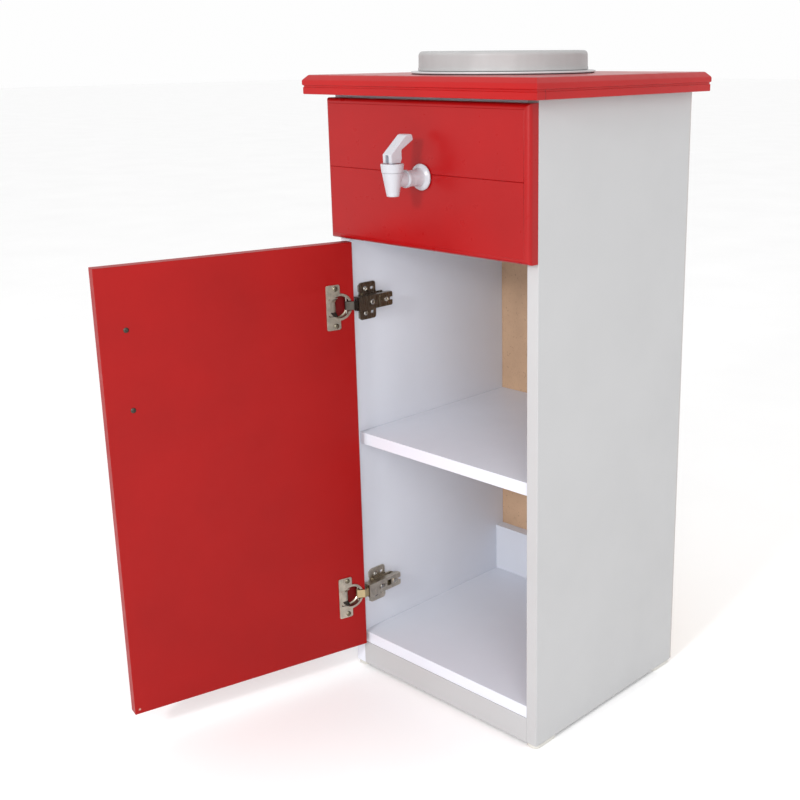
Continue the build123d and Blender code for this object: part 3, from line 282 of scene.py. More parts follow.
def cut(obj, build, operation="DIFFERENCE"):
    """Cuts away, or joins on, the solid that build makes."""
    tool = mesh_object("cutter", build)
    modifier = obj.modifiers.new("cut", "BOOLEAN")
    modifier.operation = operation
    modifier.solver = "EXACT"
    modifier.object = tool
    settle(obj)
    bpy.data.objects.remove(tool)


def ease(obj, width_mm, segments=2, angle=32.0):
    """Rounds the sharp edges."""
    modifier = obj.modifiers.new("ease", "BEVEL")
    modifier.width = width_mm * MM
    modifier.segments = segments
    modifier.limit_method = "ANGLE"
    modifier.angle_limit = math.radians(angle)
    modifier.use_clamp_overlap = True
    settle(obj)


def shade(obj, angle=38.0):
    """Smooth up to this angle, with the normals led by the larger faces so that flats stay flat."""
    obj.data.shade_smooth()
    obj.data.set_sharp_from_angle(angle=math.radians(angle))
    modifier = obj.modifiers.new("normals", "WEIGHTED_NORMAL")
    modifier.weight = 80
    modifier.keep_sharp = True


def finish_piece(obj, body, material, nodes=(), ease_mm=None, angle=38.0, segments=2):
    if ease_mm:
        ease(obj, ease_mm, segments)
    shade(obj, angle)
    obj.data.materials.clear()
    obj.data.materials.append(material)
    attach(obj, body)
    if nodes:
        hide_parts(*nodes)
    return obj


def eased_copy(node, body, material, width_mm=0.5, least_mm=8.0, segments=3):
    """A board's own mesh with its long sharp edges rounded, standing for the node."""
    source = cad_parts[node]
    bm = bmesh.new()
    bm.from_mesh(source.data)
    bmesh.ops.remove_doubles(bm, verts=bm.verts, dist=0.005 * MM)
    bmesh.ops.dissolve_limit(bm, angle_limit=math.radians(0.5), verts=bm.verts, edges=bm.edges)
    sharp = [
        e
        for e in bm.edges
        if len(e.link_faces) == 2
        and e.calc_length() > least_mm * MM
        and e.is_convex
        and e.calc_face_angle() > math.radians(30)
    ]
    bmesh.ops.bevel(
        bm, geom=sharp, offset=width_mm * MM, segments=segments, profile=0.5, affect="EDGES",
        clamp_overlap=True,
    )
    return finish_piece(object_from(node + "_eased", bm), body, material, (node,))


# ---------------------------------------------------------------- materials


def linear(red, green, blue):
    """A display colour from 0 to 255, as the shader's linear colour."""

    def one(value):
        share = value / 255
        return share / 12.92 if share <= 0.04045 else ((share + 0.055) / 1.055) ** 2.4

    return (one(red), one(green), one(blue), 1.0)


def tinted(colour, factor):
    return (colour[0] * factor, colour[1] * factor, colour[2] * factor, 1.0)


class Surface:
    """A node material in the frame's own coordinates, in metres."""

    def __init__(self, name):
        self.material = bpy.data.materials.new(name)
        self.material.use_nodes = True
        self.tree = self.material.node_tree
        self.shader = self.tree.nodes["Principled BSDF"]
        self.where = self.node("ShaderNodeTexCoord").outputs["Object"]

    def node(self, kind, **values):
        made = self.tree.nodes.new(kind)
        for key, value in values.items():
            setattr(made, key, value)
        return made

    def link(self, output, target):
        self.tree.links.new(output, target)

    def axis(self, letter):
        apart = self.node("ShaderNodeSeparateXYZ")
        self.link(self.where, apart.inputs["Vector"])
        return apart.outputs[letter]

    def stretched(self, scale):
        mapping = self.node("ShaderNodeMapping")
        mapping.inputs["Scale"].default_value = scale
        self.link(self.where, mapping.inputs["Vector"])
        return mapping.outputs["Vector"]

    def noise(self, scale, detail=3.0, rough=0.55, stretch=None):
        made = self.node("ShaderNodeTexNoise")
        made.inputs["Scale"].default_value = scale
        made.inputs["Detail"].default_value = detail
        made.inputs["Roughness"].default_value = rough
        self.link(self.stretched(stretch) if stretch else self.where, made.inputs["Vector"])
        return made.outputs["Fac"]

    def ranged(self, value, low, high, to_low=0.0, to_high=1.0):
        made = self.node("ShaderNodeMapRange")
        self.link(value, made.inputs["Value"])
        made.inputs["From Min"].default_value = low
        made.inputs["From Max"].default_value = high
        made.inputs["To Min"].default_value = to_low
        made.inputs["To Max"].default_value = to_high
        return made.outputs["Result"]

    def mixed(self, factor, first, second):
        made = self.node("ShaderNodeMix", data_type="RGBA")
        self.link(factor, made.inputs["Factor"])
        for socket, colour in ((made.inputs["A"], first), (made.inputs["B"], second)):
            if isinstance(colour, tuple):
                socket.default_value = colour
            else:
                self.link(colour, socket)
        return made.outputs["Result"]

    def product(self, first, second):
        made = self.node("ShaderNodeMath", operation="MULTIPLY")
        self.link(first, made.inputs[0])
        if isinstance(second, (int, float)):
            made.inputs[1].default_value = second
        else:
            self.link(second, made.inputs[1])
        return made.outputs["Value"]

    def sharp_edge_mask(self, radius_mm, low=0.03, high=0.25):
        """1 on sharp edges within the radius and 0 on flat faces."""
        soft = self.node("ShaderNodeBevel", samples=4)
        soft.inputs["Radius"].default_value = radius_mm * MM
        true = self.node("ShaderNodeNewGeometry")
        dot = self.node("ShaderNodeVectorMath", operation="DOT_PRODUCT")
        self.link(soft.outputs["Normal"], dot.inputs[0])
        self.link(true.outputs["Normal"], dot.inputs[1])
        return self.ranged(dot.outputs["Value"], 1 - low, 1 - high)

    def colour(self, value):
        self.link(value, self.shader.inputs["Base Color"])

    def roughness(self, value):
        self.link(value, self.shader.inputs["Roughness"])

    def bumps(self, *layers):
        """Each layer is (height output, depth in millimetres)."""
        below = None
        for height, depth_mm in layers:
            bump = self.node("ShaderNodeBump")
            bump.inputs["Strength"].default_value = 1.0
            bump.inputs["Distance"].default_value = depth_mm * MM
            self.link(height, bump.inputs["Height"])
            if below:
                self.link(below, bump.inputs["Normal"])
            below = bump.outputs["Normal"]
        self.link(below, self.shader.inputs["Normal"])


def painted(name, colour, roughness, peel_mm=0.03, brush=(9, 260, 260), coat=0.0, mark=None):
    """Satin paint on board: patchy colour, orange peel, brush drag, paler worn edges that also serve as a
    painted highlight and, where given, a mark.
    """
    s = Surface(name)
    patches = s.noise(9.0, detail=4.0)
    base = s.mixed(s.ranged(patches, 0.3, 0.7), tinted(colour, 0.93), tinted(colour, 1.06))
    specks = s.ranged(s.noise(900.0, detail=2.0), 0.62, 0.75, 0.0, 0.22)
    base = s.mixed(specks, base, tinted(colour, 0.8))
    # Paler edges: worn paint, and also a painted highlight along the mouldings
    edge_wear_and_highlight = s.product(s.sharp_edge_mask(0.8), s.ranged(s.noise(120.0), 0.5, 0.72, 0.0, 0.35))
    base = s.mixed(edge_wear_and_highlight, base, tinted(colour, 1.45))
    s.colour(mark(s, base) if mark else base)
    s.roughness(s.ranged(s.noise(60.0, detail=5.0), 0.3, 0.7, roughness - 0.05, roughness + 0.07))
    s.bumps(
        (s.noise(420.0, detail=2.0), peel_mm), (s.noise(1.0, detail=3.0, stretch=brush), peel_mm * 1.6),
    )
    s.shader.inputs["Coat Weight"].default_value = coat
    s.shader.inputs["Coat Roughness"].default_value = 0.25
    s.shader.inputs["Specular IOR Level"].default_value = 0.2
    return s.material


def laminate(name, colour, roughness=0.42):
    """White melamine board: faint pearl grain, scuffs and slightly darker edge banding."""
    s = Surface(name)
    cloud = s.noise(6.0, detail=3.0)
    base = s.mixed(s.ranged(cloud, 0.3, 0.7), tinted(colour, 0.97), tinted(colour, 1.02))
    scuffs = s.ranged(s.noise(1.0, detail=6.0, rough=0.7, stretch=(18, 18, 70)), 0.66, 0.8, 0.0, 0.10)
    base = s.mixed(scuffs, base, tinted(colour, 0.82))
    s.colour(s.mixed(s.product(s.sharp_edge_mask(0.7), 0.35), base, tinted(colour, 0.78)))
    s.roughness(s.ranged(s.noise(35.0, detail=5.0), 0.3, 0.7, roughness - 0.06, roughness + 0.08))
    s.bumps((s.noise(650.0, detail=2.0), 0.012), (s.noise(150.0, detail=2.0), 0.02))
    return s.material


def hardboard(name, colour, edge):
    """Brown pressed fibre: matted short fibres and darker flecks."""
    s = Surface(name)
    cloud = s.ranged(s.noise(14.0, detail=4.0), 0.3, 0.7)
    base = s.mixed(cloud, tinted(colour, 0.86), tinted(colour, 1.1))
    fibre = s.noise(1.0, detail=6.0, rough=0.75, stretch=(520, 520, 190))
    base = s.mixed(s.ranged(fibre, 0.55, 0.75, 0.0, 0.5), base, tinted(colour, 0.6))
    flecks = s.ranged(s.noise(260.0, detail=3.0), 0.64, 0.72, 0.0, 0.55)
    brown = s.mixed(flecks, base, tinted(colour, 0.45))
    # The long edges carry the side boards' white, darkened like theirs as painted shade
    across = s.node("ShaderNodeMath", operation="ABSOLUTE")
    s.link(s.axis("X"), across.inputs[0])
    s.colour(s.mixed(s.ranged(across.outputs["Value"], 0.1628, 0.1636), brown, edge))
    s.roughness(s.ranged(fibre, 0.3, 0.7, 0.72, 0.9))
    s.bumps((fibre, 0.08))
    return s.material


def metal(name, colour, roughness, dark=0.55, scratch=0.5, streak=(1500, 1500, 60)):
    """Plated metal: cloudy tarnish, drawn streaks, pits, and polished edges that are brightened also as a
    painted highlight.
    """
    s = Surface(name)
    cloud = s.ranged(s.noise(130.0, detail=5.0), 0.35, 0.68)
    base = s.mixed(cloud, tinted(colour, dark), colour)
    streaks = s.noise(1.0, detail=4.0, stretch=streak)
    base = s.mixed(s.ranged(streaks, 0.55, 0.75, 0.0, 0.14), base, tinted(colour, dark * 0.85))
    # Brighter edges: polished plating, and also a painted highlight
    s.colour(s.mixed(s.product(s.sharp_edge_mask(0.45), 0.6), base, tinted(colour, 1.35)))
    s.roughness(s.ranged(streaks, 0.3, 0.7, roughness - 0.07, roughness + 0.1))
    s.bumps((streaks, 0.006 * scratch), (s.noise(700.0, detail=3.0), 0.012 * scratch))
    s.shader.inputs["Metallic"].default_value = 1.0
    return s.material


def moulded(name, colour, roughness, through=0.0, grain_mm=0.012):
    """Injection-moulded plastic: faint flow marks, fine texture and painted shade on the edges, standing for
    a softer sheen there.
    """
    s = Surface(name)
    flow = s.noise(1.0, detail=3.0, stretch=(40, 40, 14))
    base = s.mixed(s.ranged(flow, 0.35, 0.65), tinted(colour, 0.955), tinted(colour, 1.02))
    grime = s.ranged(s.noise(75.0, detail=5.0), 0.62, 0.8, 0.0, 0.16)
    base = s.mixed(grime, base, tinted(colour, 0.8))
    # Edges painted a little darker: painted shade for a softer sheen
    s.colour(s.mixed(s.product(s.sharp_edge_mask(0.5), 0.25), base, tinted(colour, 0.9)))
    s.roughness(s.ranged(s.noise(90.0, detail=4.0), 0.3, 0.7, roughness - 0.05, roughness + 0.07))
    s.bumps((s.noise(800.0, detail=2.0), grain_mm), (s.noise(50.0, detail=2.0), 2.5 * grain_mm))
    if through:
        s.shader.inputs["Subsurface Weight"].default_value = through
        s.shader.inputs["Subsurface Radius"].default_value = (0.9, 0.85, 0.8)
        s.shader.inputs["Subsurface Scale"].default_value = 2 * MM
    return s.material


def rubbery(name, colour):
    s = Surface(name)
    base = s.mixed(s.ranged(s.noise(60.0, detail=4.0), 0.3, 0.7), tinted(colour, 0.8), tinted(colour, 1.25))
    dust = s.ranged(s.noise(400.0, detail=3.0), 0.6, 0.75, 0.0, 0.2)
    s.colour(s.mixed(dust, base, tinted(colour, 2.4)))
    s.roughness(s.ranged(s.noise(200.0), 0.3, 0.7, 0.62, 0.8))
    s.bumps((s.noise(900.0, detail=2.0), 0.02))
    return s.material


def bare_wood(name, colour):
    s = Surface(name)
    grain = s.noise(1.0, detail=6.0, rough=0.7, stretch=(60, 900, 900))
    base = s.mixed(s.ranged(grain, 0.35, 0.65), tinted(colour, 0.7), tinted(colour, 1.1))
    pores = s.ranged(s.noise(1.0, detail=2.0, stretch=(200, 2400, 2400)), 0.62, 0.7, 0.0, 0.6)
    s.colour(s.mixed(pores, base, tinted(colour, 0.4)))
    s.roughness(s.ranged(grain, 0.3, 0.7, 0.6, 0.8))
    s.bumps((grain, 0.05))
    return s.material


def butt_joint(s, base):
    """The hairline where the lower edge strip is butted, near the front of the worktop's sides."""
    line = s.node("ShaderNodeMath", operation="COMPARE")
    s.link(s.axis("Y"), line.inputs[0])
    line.inputs[1].default_value = -0.1642
    line.inputs[2].default_value = 0.00035
    lower = s.ranged(s.axis("Z"), 0.7905, 0.791, 1.0, 0.0)
    return s.mixed(s.product(line.outputs["Value"], lower), base, linear(70, 6, 8))


def corner_chip(s, base):
    """A small pale chip in the paint of the door's lower free corner."""
    gap = s.node("ShaderNodeVectorMath", operation="DISTANCE")
    s.link(s.where, gap.inputs[0])
    gap.inputs[1].default_value = DOOR @ Vector((317.0, 46.0, 0))
    ragged = s.node("ShaderNodeMath", operation="MULTIPLY_ADD")
    s.link(s.noise(500.0, detail=3.0), ragged.inputs[0])
    ragged.inputs[1].default_value = 0.003
    s.link(gap.outputs["Value"], ragged.inputs[2])
    return s.mixed(s.ranged(ragged.outputs["Value"], 0.0026, 0.0031, 0.8, 0.0), base, linear(186, 150, 140))


MATERIALS = {
    "worktop": painted(
        "worktop paint", linear(160, 12, 13), 0.33, brush=(60, 60, 400), coat=0.15, mark=butt_joint
    ),
    "fascia": painted("fascia paint", linear(150, 11, 13), 0.31, brush=(14, 300, 300), coat=0.2),
    "door": painted(
        "door paint", linear(146, 12, 11), 0.42, peel_mm=0.022, brush=(200, 200, 10), mark=corner_chip
    ),
    # A darker red in the hinge cup's floor, as a painted reflection of the door
    "red_cup_reflection": painted("red reflection painted in the cup", linear(112, 12, 14), 0.5),
    # The same white melamine in two colours: the one for the outer side and plinth darker as painted shade,
    # the one for the inner boards lighter and bluer as painted light
    "side": laminate("laminate painted darker as shade", linear(176, 176, 177)),
    "inner": laminate("laminate painted lighter as light", linear(214, 217, 226)),
    "hardboard": hardboard("hardboard", linear(193, 159, 129), linear(176, 176, 177)),
    "nickel": metal("nickel plate", linear(206, 197, 180), 0.32, dark=0.72),
    # A darker copy of the nickel: painted shade for the upper hinge
    "shaded_nickel": metal("nickel plate painted darker as shade", linear(150, 141, 128), 0.24, dark=0.75, scratch=0.3),
    "warm_nickel": metal("warm nickel plate", linear(196, 178, 138), 0.42, dark=0.85),
    "steel": metal("bright steel", linear(185, 182, 176), 0.22, dark=0.75, streak=(60, 60, 1500)),
    "screw": metal("screw plate", linear(150, 142, 124), 0.28, dark=0.5),
    # Dark metal for the handle screws, and also used as painted shade on the hinges
    "dark_screw": metal("dark screw", linear(84, 80, 74), 0.4, dark=0.7),
    "handle": metal("handle satin", linear(190, 188, 184), 0.27, dark=0.8),
    "glide": moulded("glide plastic", linear(196, 194, 188), 0.5),
    "tub": moulded("tub plastic", linear(190, 191, 192), 0.34, through=0.1),
    "lid": moulded("lid plastic", linear(164, 164, 164), 0.42, through=0.1),
    "tap": moulded("tap plastic", linear(180, 180, 186), 0.24, through=0.2, grain_mm=0.004),
    "tap_stem": moulded("tap stem plastic", linear(172, 180, 222), 0.24, through=0.2),
    "rubber": rubbery("rubber", linear(60, 60, 62)),
    "dowel": bare_wood("dowel beech", linear(206, 170, 122)),
}

# ---------------------------------------------------------------- CAD nodes that keep their shape

KEPT = {
    "dowel": ("carcass_dowels", "fascia_dowels"),
    "steel": (
        "shelf_pins",
        "back_panel_nails",
        "foot_nails",
        "worktop_screws",
        "hinge_cup_pin_upper",
        "hinge_cup_pin_lower",
        "hinge_arm_pin_upper",
        "hinge_arm_pin_lower",
        "tap_spring",
    ),
    "rubber": ("tap_valve_seal", "tub_gasket", "tap_outer_gasket", "tap_inner_gasket"),
    "tap": ("tap_nut", "tap_lever_pin"),
    "tap_stem": ("tap_stem",),
    "glide": ("foot_front_left", "foot_front_right", "foot_rear_left", "foot_rear_right"),
}
for look, names in KEPT.items():
    for node_name in names:
        node_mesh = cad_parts[node_name].data
        node_mesh.materials.clear()
        node_mesh.materials.append(MATERIALS[look])

# ---------------------------------------------------------------- boards

# The outer side and plinth take the melamine darkened as painted shade, the inner boards the melamine
# lightened and blued as painted light
BOARDS = {
    "side_panel_left": ("inner", "side_board"),
    "side_panel_right": ("side", "side_board"),
    "floor_panel": ("inner", "inner_board"),
    "plinth_board": ("side", "inner_board"),
    "rear_rail": ("inner", "inner_board"),
    "shelf_board": ("inner", "inner_board"),
    "divider_panel": ("inner", "inner_board"),
    "top_rail_front": ("inner", "inner_board"),
    "top_rail_rear": ("inner", "inner_board"),
}
for node_name, (look, slot_name) in BOARDS.items():
    eased_copy(node_name, "cabinet", MATERIALS[look], width_mm=0.5)
eased_copy("back_panel", "cabinet", MATERIALS["hardboard"], width_mm=0.25)
eased_copy("door_panel", "door", MATERIALS["door"], width_mm=0.7, least_mm=14.0)

# ---------------------------------------------------------------- worktop


def add_moulding(bm, where, centre, half, profile):
    """Rectangle loops along the profile of (inset, height), joined into mitred edges."""
    loops = []
    for inset, height in profile:
        x_half, y_half = half[0] - inset, half[1] - inset
        corners = rectangle(centre[0] - x_half, centre[0] + x_half, centre[1] - y_half, centre[1] + y_half)
        loops.append(add_ring(bm, where, corners, height))
    join_rings(bm, loops)
    return loops


def arc(centre, radius, start_deg, end_deg, steps):
    """Points of an arc as (inset, height)."""
    return [
        (
            centre[0] + radius * math.cos(math.radians(start_deg + (end_deg - start_deg) * i / steps)),
            centre[1] + radius * math.sin(math.radians(start_deg + (end_deg - start_deg) * i / steps)),
        )
        for i in range(steps + 1)
    ]


def build_worktop(bm):
    where = upright(0, 0, SIDE_TOP)
    centre = (0, (WORKTOP_FRONT_Y + WORKTOP_REAR_Y) / 2)
    half = (WORKTOP_HALF_X, (WORKTOP_REAR_Y - WORKTOP_FRONT_Y) / 2)
    profile = [
        (1.6, 0.0), (1.0, 0.2), (0.8, 0.8), (0.8, 7.0), (0.9, 7.7),
        *arc((0.2, 9.4), 1.5, -80, 80, 6),
        (0.1, 11.3), (0.0, 12.0), (0.0, 15.6), (0.25, 16.6), (0.9, 17.6), (4.9, 21.8), (5.8, 22.6),
        (7.0, 23.0),
    ]
    loops = add_moulding(bm, where, centre, half, profile)
    hole = circle(0, TUB_Y, HOLE_RADIUS, 96)
    rings = [add_ring(bm, where, hole, height) for height in (0.0, WORKTOP_THICKNESS)]
    join_rings(bm, rings)
    fill_flat(bm, (loops[0], rings[0]))
    fill_flat(bm, (loops[-1], rings[1]))


worktop = mesh_object("worktop_moulded", build_worktop)
finish_piece(worktop, "cabinet", MATERIALS["worktop"], ("worktop",), ease_mm=0.35, angle=50)

# ---------------------------------------------------------------- fascia


def build_fascia(bm):
    # Own X is across, own Y up and own Z towards the front
    where = place((0, FRONT_Y, 0), (1, 0, 0), (0, -1, 0))
    thickness = FRONT_Y - FASCIA_FACE_Y
    centre = (0, (FASCIA_BOTTOM + FASCIA_TOP) / 2)
    half = (HALF_WIDTH, (FASCIA_TOP - FASCIA_BOTTOM) / 2)
    profile = [
        (0.6, 0.0), (0.0, 0.6), (0.0, thickness - 7.4), (0.15, thickness - 6.0), (0.8, thickness - 4.0),
        (2.0, thickness - 2.3), (3.6, thickness - 1.2), (5.4, thickness - 0.75), (6.3, thickness - 0.7),
        (6.5, thickness - 0.15), (6.9, thickness),
    ]
    loops = add_moulding(bm, where, centre, half, profile)
    bm.faces.new(loops[0])
    bm.faces.new(loops[-1])


def cut_fascia_groove(bm):
    where = place((0, FASCIA_FACE_Y, FASCIA_GROOVE_Z), (0, -1, 0), (1, 0, 0))
    add_prism(bm, where, [(-1.0, 0), (0.4, -0.75), (0.4, 0.75)], -HALF_WIDTH + 6.7, HALF_WIDTH - 6.7)


def cut_fascia_hole(bm):
    where = place((TAP_X, FRONT_Y + 2, TAP_Z), (1, 0, 0), (0, -1, 0))
    add_prism(bm, where, circle(0, 0, 8.5, 40), 0, 25)


fascia = mesh_object("fascia_moulded", build_fascia)
cut(fascia, cut_fascia_groove)
cut(fascia, cut_fascia_hole)
finish_piece(fascia, "cabinet", MATERIALS["fascia"], ("fascia_board",), ease_mm=0.2, angle=45)

# ---------------------------------------------------------------- screws


def add_screw(bm, where, head_radius, head_height, shank_radius, length):
    """A pan-head screw: own Z points out of the head, whose seat is at 0."""
    profile = [
        (0, -length), (shank_radius * 0.6, -length + 1.5), (shank_radius, -length + 3), (shank_radius, 0),
        (head_radius * 0.96, 0), (head_radius, 0.2 * head_height),
        (head_radius * 0.93, 0.55 * head_height), (head_radius * 0.72, 0.85 * head_height),
        (head_radius * 0.4, head_height), (0, head_height),
    ]
    add_lathe(bm, where, profile, 28)


def add_cross(bm, where, size, depth, top):
    """A cross recess for cutting into a screw head."""
    width = 0.16 * size
    outline = [
        (width, width), (width, size / 2), (-width, size / 2), (-width, width), (-size / 2, width),
        (-size / 2, -width), (-width, -width), (-width, -size / 2), (width, -size / 2), (width, -width),
        (size / 2, -width), (size / 2, width),
    ]
    add_prism(bm, where, outline, top - depth, top + 1)


def screw_group(
    name, places, head_radius, head_height, shank_radius, length, recess, body, slot_name, look, nodes
):
    """One object with a screw at each place."""

    def screws(bm):
        for where in places:
            add_screw(bm, where, head_radius, head_height, shank_radius, length)

    def recesses(bm):
        for index, where in enumerate(places):
            turned = where @ Matrix.Rotation(math.radians(25 + 47 * index), 4, "Z")
            add_cross(bm, turned, recess, 0.7 * head_height, head_height)

    obj = mesh_object(name, screws)
    cut(obj, recesses)
    return finish_piece(obj, body, MATERIALS[look], nodes, angle=40)


# ---------------------------------------------------------------- hinges

CUP_CENTRE = 20.5
CUP_RADIUS = 17.4
CUP_MOUTH = 14.4
FLANGE_END = 39.5
FLANGE_HALF = 29.0
FLANGE_SHEET = 1.2
TRAY_HALF = 11.6
TRAY_FLOOR_HALF = 6.8
TRAY_END = 36.0
TRAY_DEPTH = 2.8
ARM_TOP = 13.6
ARM_SHEET = 1.6
ARM_HALF = 9.0
CUP_DEPTH = 12.4
CUP_WALL = 0.9
CUP_REFLECTION_RADIUS = 14.9
LINK_HALF = 5.5
LINK_PIN_RADIUS = 2.1
LINK_GAP_HALF = 6.6
PLATE_SHEET = 1.9
PLATE_HALF = 24.5
PLATE_WAIST = 10.5
PLATE_SCREW_OFFSET = 16.0
SLOT_SCREW_Y = -122.5
REAR_SCREW_Y = -98.5
REAR_SCREW_HOLE = 2.7
ARM_PIN = (-142.9717, -143.0327)
CUP_PIN = (-144.8930, -158.9169)
ARM_WINDOW = rectangle(-113.2, -105.6, -3.4, 4.6)


def door_place(along, height, out=0.0, turned=False):
    """A frame on the door; turned, its own Z points out of the inner face."""
    origin = (DOOR @ Vector((along, height, out))) / MM
    return place(origin, -DOOR_ALONG if turned else DOOR_ALONG, -DOOR_OUT if turned else DOOR_OUT)


def build_cup(hinge_z):
    def build(bm):
        where = door_place(0, hinge_z)
        # Flange with the cup's mouth and the tray's notch cut out of its near edge
        start = math.degrees(math.asin(TRAY_HALF / CUP_MOUTH))
        rim_turn = math.degrees(math.acos(-0.5 / CUP_RADIUS))
        rim = [(CUP_CENTRE + x, y) for x, y in arc((0, 0), CUP_RADIUS, rim_turn, 360 - rim_turn, 30)]
        flange = rounded(
            [
                (20.0, -FLANGE_HALF, 2.5), (FLANGE_END, -FLANGE_HALF, 2.5),
                (FLANGE_END, FLANGE_HALF, 2.5), (20.0, FLANGE_HALF, 2.5),
            ],
            2.5,
        )
        low = [p for p in flange if p[1] < 0]
        high = [p for p in flange if p[1] > 0]
        notch = rounded(
            [
                (CUP_CENTRE + CUP_MOUTH * math.cos(math.radians(start)), TRAY_HALF, 0),
                (TRAY_END, TRAY_HALF), (TRAY_END, -TRAY_HALF),
                (CUP_CENTRE + CUP_MOUTH * math.cos(math.radians(start)), -TRAY_HALF, 0),
            ],
            1.2,
            closed=False,
        )
        outer = low + high + rim
        mouth = [(CUP_CENTRE + x, y) for x, y in arc((0, 0), CUP_MOUTH, start, 360 - start, 44)]
        inner = mouth[1:-1] + notch[::-1]
        add_prism(bm, where, outer, -FLANGE_SHEET, 0, holes=(inner,))

    return build


def build_cup_bowl(hinge_z):
    def build(bm):
        where = door_place(CUP_CENTRE, hinge_z)
        inner = CUP_RADIUS - CUP_WALL
        add_lathe(
            bm,
            where,
            [
                (CUP_MOUTH + 0.1, -0.4), (CUP_RADIUS, -0.4), (CUP_RADIUS, CUP_DEPTH - 1.5),
                (CUP_RADIUS - 1.5, CUP_DEPTH), (0, CUP_DEPTH), (0, CUP_DEPTH - 0.8),
                (CUP_RADIUS - 2.2, CUP_DEPTH - 0.8), (inner, CUP_DEPTH - 2.2), (inner, 2.4),
                (CUP_MOUTH + 0.1, 0.6), (CUP_MOUTH + 0.1, -0.4),
            ],
            72,
        )

    return build


def build_tray(hinge_z, sides, floored):
    """The pressed tray between the flange and the cup: its floor, and its sloping wall on each side given."""

    def build(bm):
        sheet = 0.8
        path = [
            (TRAY_END + 0.2, 0.9), (TRAY_END - 1.6, TRAY_DEPTH), (27.6, TRAY_DEPTH + 0.1),
            (25.4, TRAY_DEPTH + 0.5), (24.2, TRAY_DEPTH + 1.6), (23.7, TRAY_DEPTH + 3.4), (23.6, 9.5),
        ]
        path = rounded(path, 1.5, closed=False)
        floor = []
        for along, depth in path:
            points = (
                (TRAY_FLOOR_HALF, 0), (-TRAY_FLOOR_HALF, 0),
                (-TRAY_FLOOR_HALF, sheet), (TRAY_FLOOR_HALF, sheet),
            )
            floor.append([DOOR @ Vector((along, hinge_z + z, depth + more)) for z, more in points])
        if floored:
            add_loft(bm, floor)
        for side in sides:
            wall = []
            for along, depth in path:
                deep = min(depth, TRAY_DEPTH + 4.0)
                points = (
                    (TRAY_HALF, -0.9), (TRAY_FLOOR_HALF, deep), (TRAY_FLOOR_HALF, deep + sheet),
                    (TRAY_HALF + sheet, -0.9),
                )
                wall.append([DOOR @ Vector((along, hinge_z + side * z, more)) for z, more in points])
            add_loft(bm, wall)

    return build


def cut_link_gap(hinge_z):
    """The gap in the cup's rim that the link passes through."""

    def build(bm):
        add_prism(bm, door_place(0, hinge_z), rectangle(1.0, 8.0, -LINK_GAP_HALF, LINK_GAP_HALF), -2.0, 3.6)

    return build


def build_cup_reflection_disc(hinge_z):
    """A dark red disc at the bottom of the cup: a painted reflection of the red door."""

    def build(bm):
        where = door_place(CUP_CENTRE, hinge_z)
        low, high = CUP_DEPTH - 1.1, CUP_DEPTH - 0.85
        add_lathe(bm, where, [(0, high), (CUP_REFLECTION_RADIUS, high), (CUP_REFLECTION_RADIUS, low), (0, low)], 48)

    return build


LINK_PATH = [
    (ARM_PIN[0], ARM_PIN[1]), (-135.2, -148.2), (-134.9, -154.4), (-141.2, -162.1),
]
LINK_EAR = [
    (-135.2, -154.2), (-141.4, -161.8), (-144.4, -161.1), (-147.0, -159.6), (-147.1, -158.0),
    (-145.6, -156.8), (-143.0, -156.6),
]


def build_link(hinge_z):
    def build(bm):
        where = upright(0, 0, hinge_z)
        path = rounded(LINK_PATH, 1.4, closed=False)
        add_prism(bm, where, strip(path, ARM_SHEET), -LINK_HALF, LINK_HALF)
        add_pair(bm, where, rounded(LINK_EAR, 0.8), LINK_HALF - 1.2, LINK_HALF - 0.05)
        for pin in (ARM_PIN, CUP_PIN):
            add_prism(bm, where, circle(*pin, LINK_PIN_RADIUS, 28), 0.2 - LINK_HALF, LINK_HALF - 0.2)

    return build


def build_arm(hinge_z, window):
    def build(bm):
        where = sideways(-INNER_HALF, 0, hinge_z)
        # Outer face: narrower at its front, forked at its rear
        outline = rounded(
            [
                (-146.0, -6.6, 1.0), (-142.5, -ARM_HALF, 2.0), (-89.6, -ARM_HALF, 1.2),
                (-88.0, -7.4, 0.8), (-88.0, -2.0, 0.8), (-94.0, -2.0, 1.9), (-94.0, 2.0, 1.9),
                (-88.0, 2.0, 0.8), (-88.0, 7.4, 0.8), (-89.6, ARM_HALF, 1.2), (-142.5, ARM_HALF, 2.0),
                (-146.0, 6.6, 1.0),
            ],
            1.0,
        )
        slot_hole = rounded(rectangle(-128.0, -117.5, -2.9, 2.9), 2.8)
        screw_hole = circle(REAR_SCREW_Y, 0, REAR_SCREW_HOLE, 28)
        holes = (slot_hole, screw_hole, rounded(ARM_WINDOW, 0.5)) if window else (slot_hole, screw_hole)
        add_prism(bm, where, outline, ARM_TOP - ARM_SHEET, ARM_TOP, holes=holes)
        # Raised bead behind the slot, and the boss round the rear screw
        if not window:
            bead = rounded(rectangle(-110.6, -107.8, -7.4, 7.4), 1.2)
            add_prism(bm, where, bead, ARM_TOP - 0.5, ARM_TOP + 0.9)
        boss = circle(REAR_SCREW_Y, 0, 4.6, 32)
        add_prism(bm, where, boss, ARM_TOP - 0.5, ARM_TOP + 0.35, holes=(screw_hole,))

    return build


def build_arm_sides(hinge_z):
    """The arm's two side walls, rounded round the pin at the front."""

    def build(bm):
        top_view = upright(0, 0, hinge_z)
        front = [(ARM_PIN[0] + x, ARM_PIN[1] + y) for x, y in arc((0, 0), 3.4, 190, 300, 8)]
        outline = [
            (-145.6, -104.0), (-145.6, -139.0),
            *front,
            (-134.9, -146.0), (-134.5, -88.6), (-139.0, -88.6), (-141.5, -92.0), (-141.5, -101.0),
        ]
        add_pair(bm, top_view, outline, ARM_HALF - 1.4, ARM_HALF - 0.05)

    return build


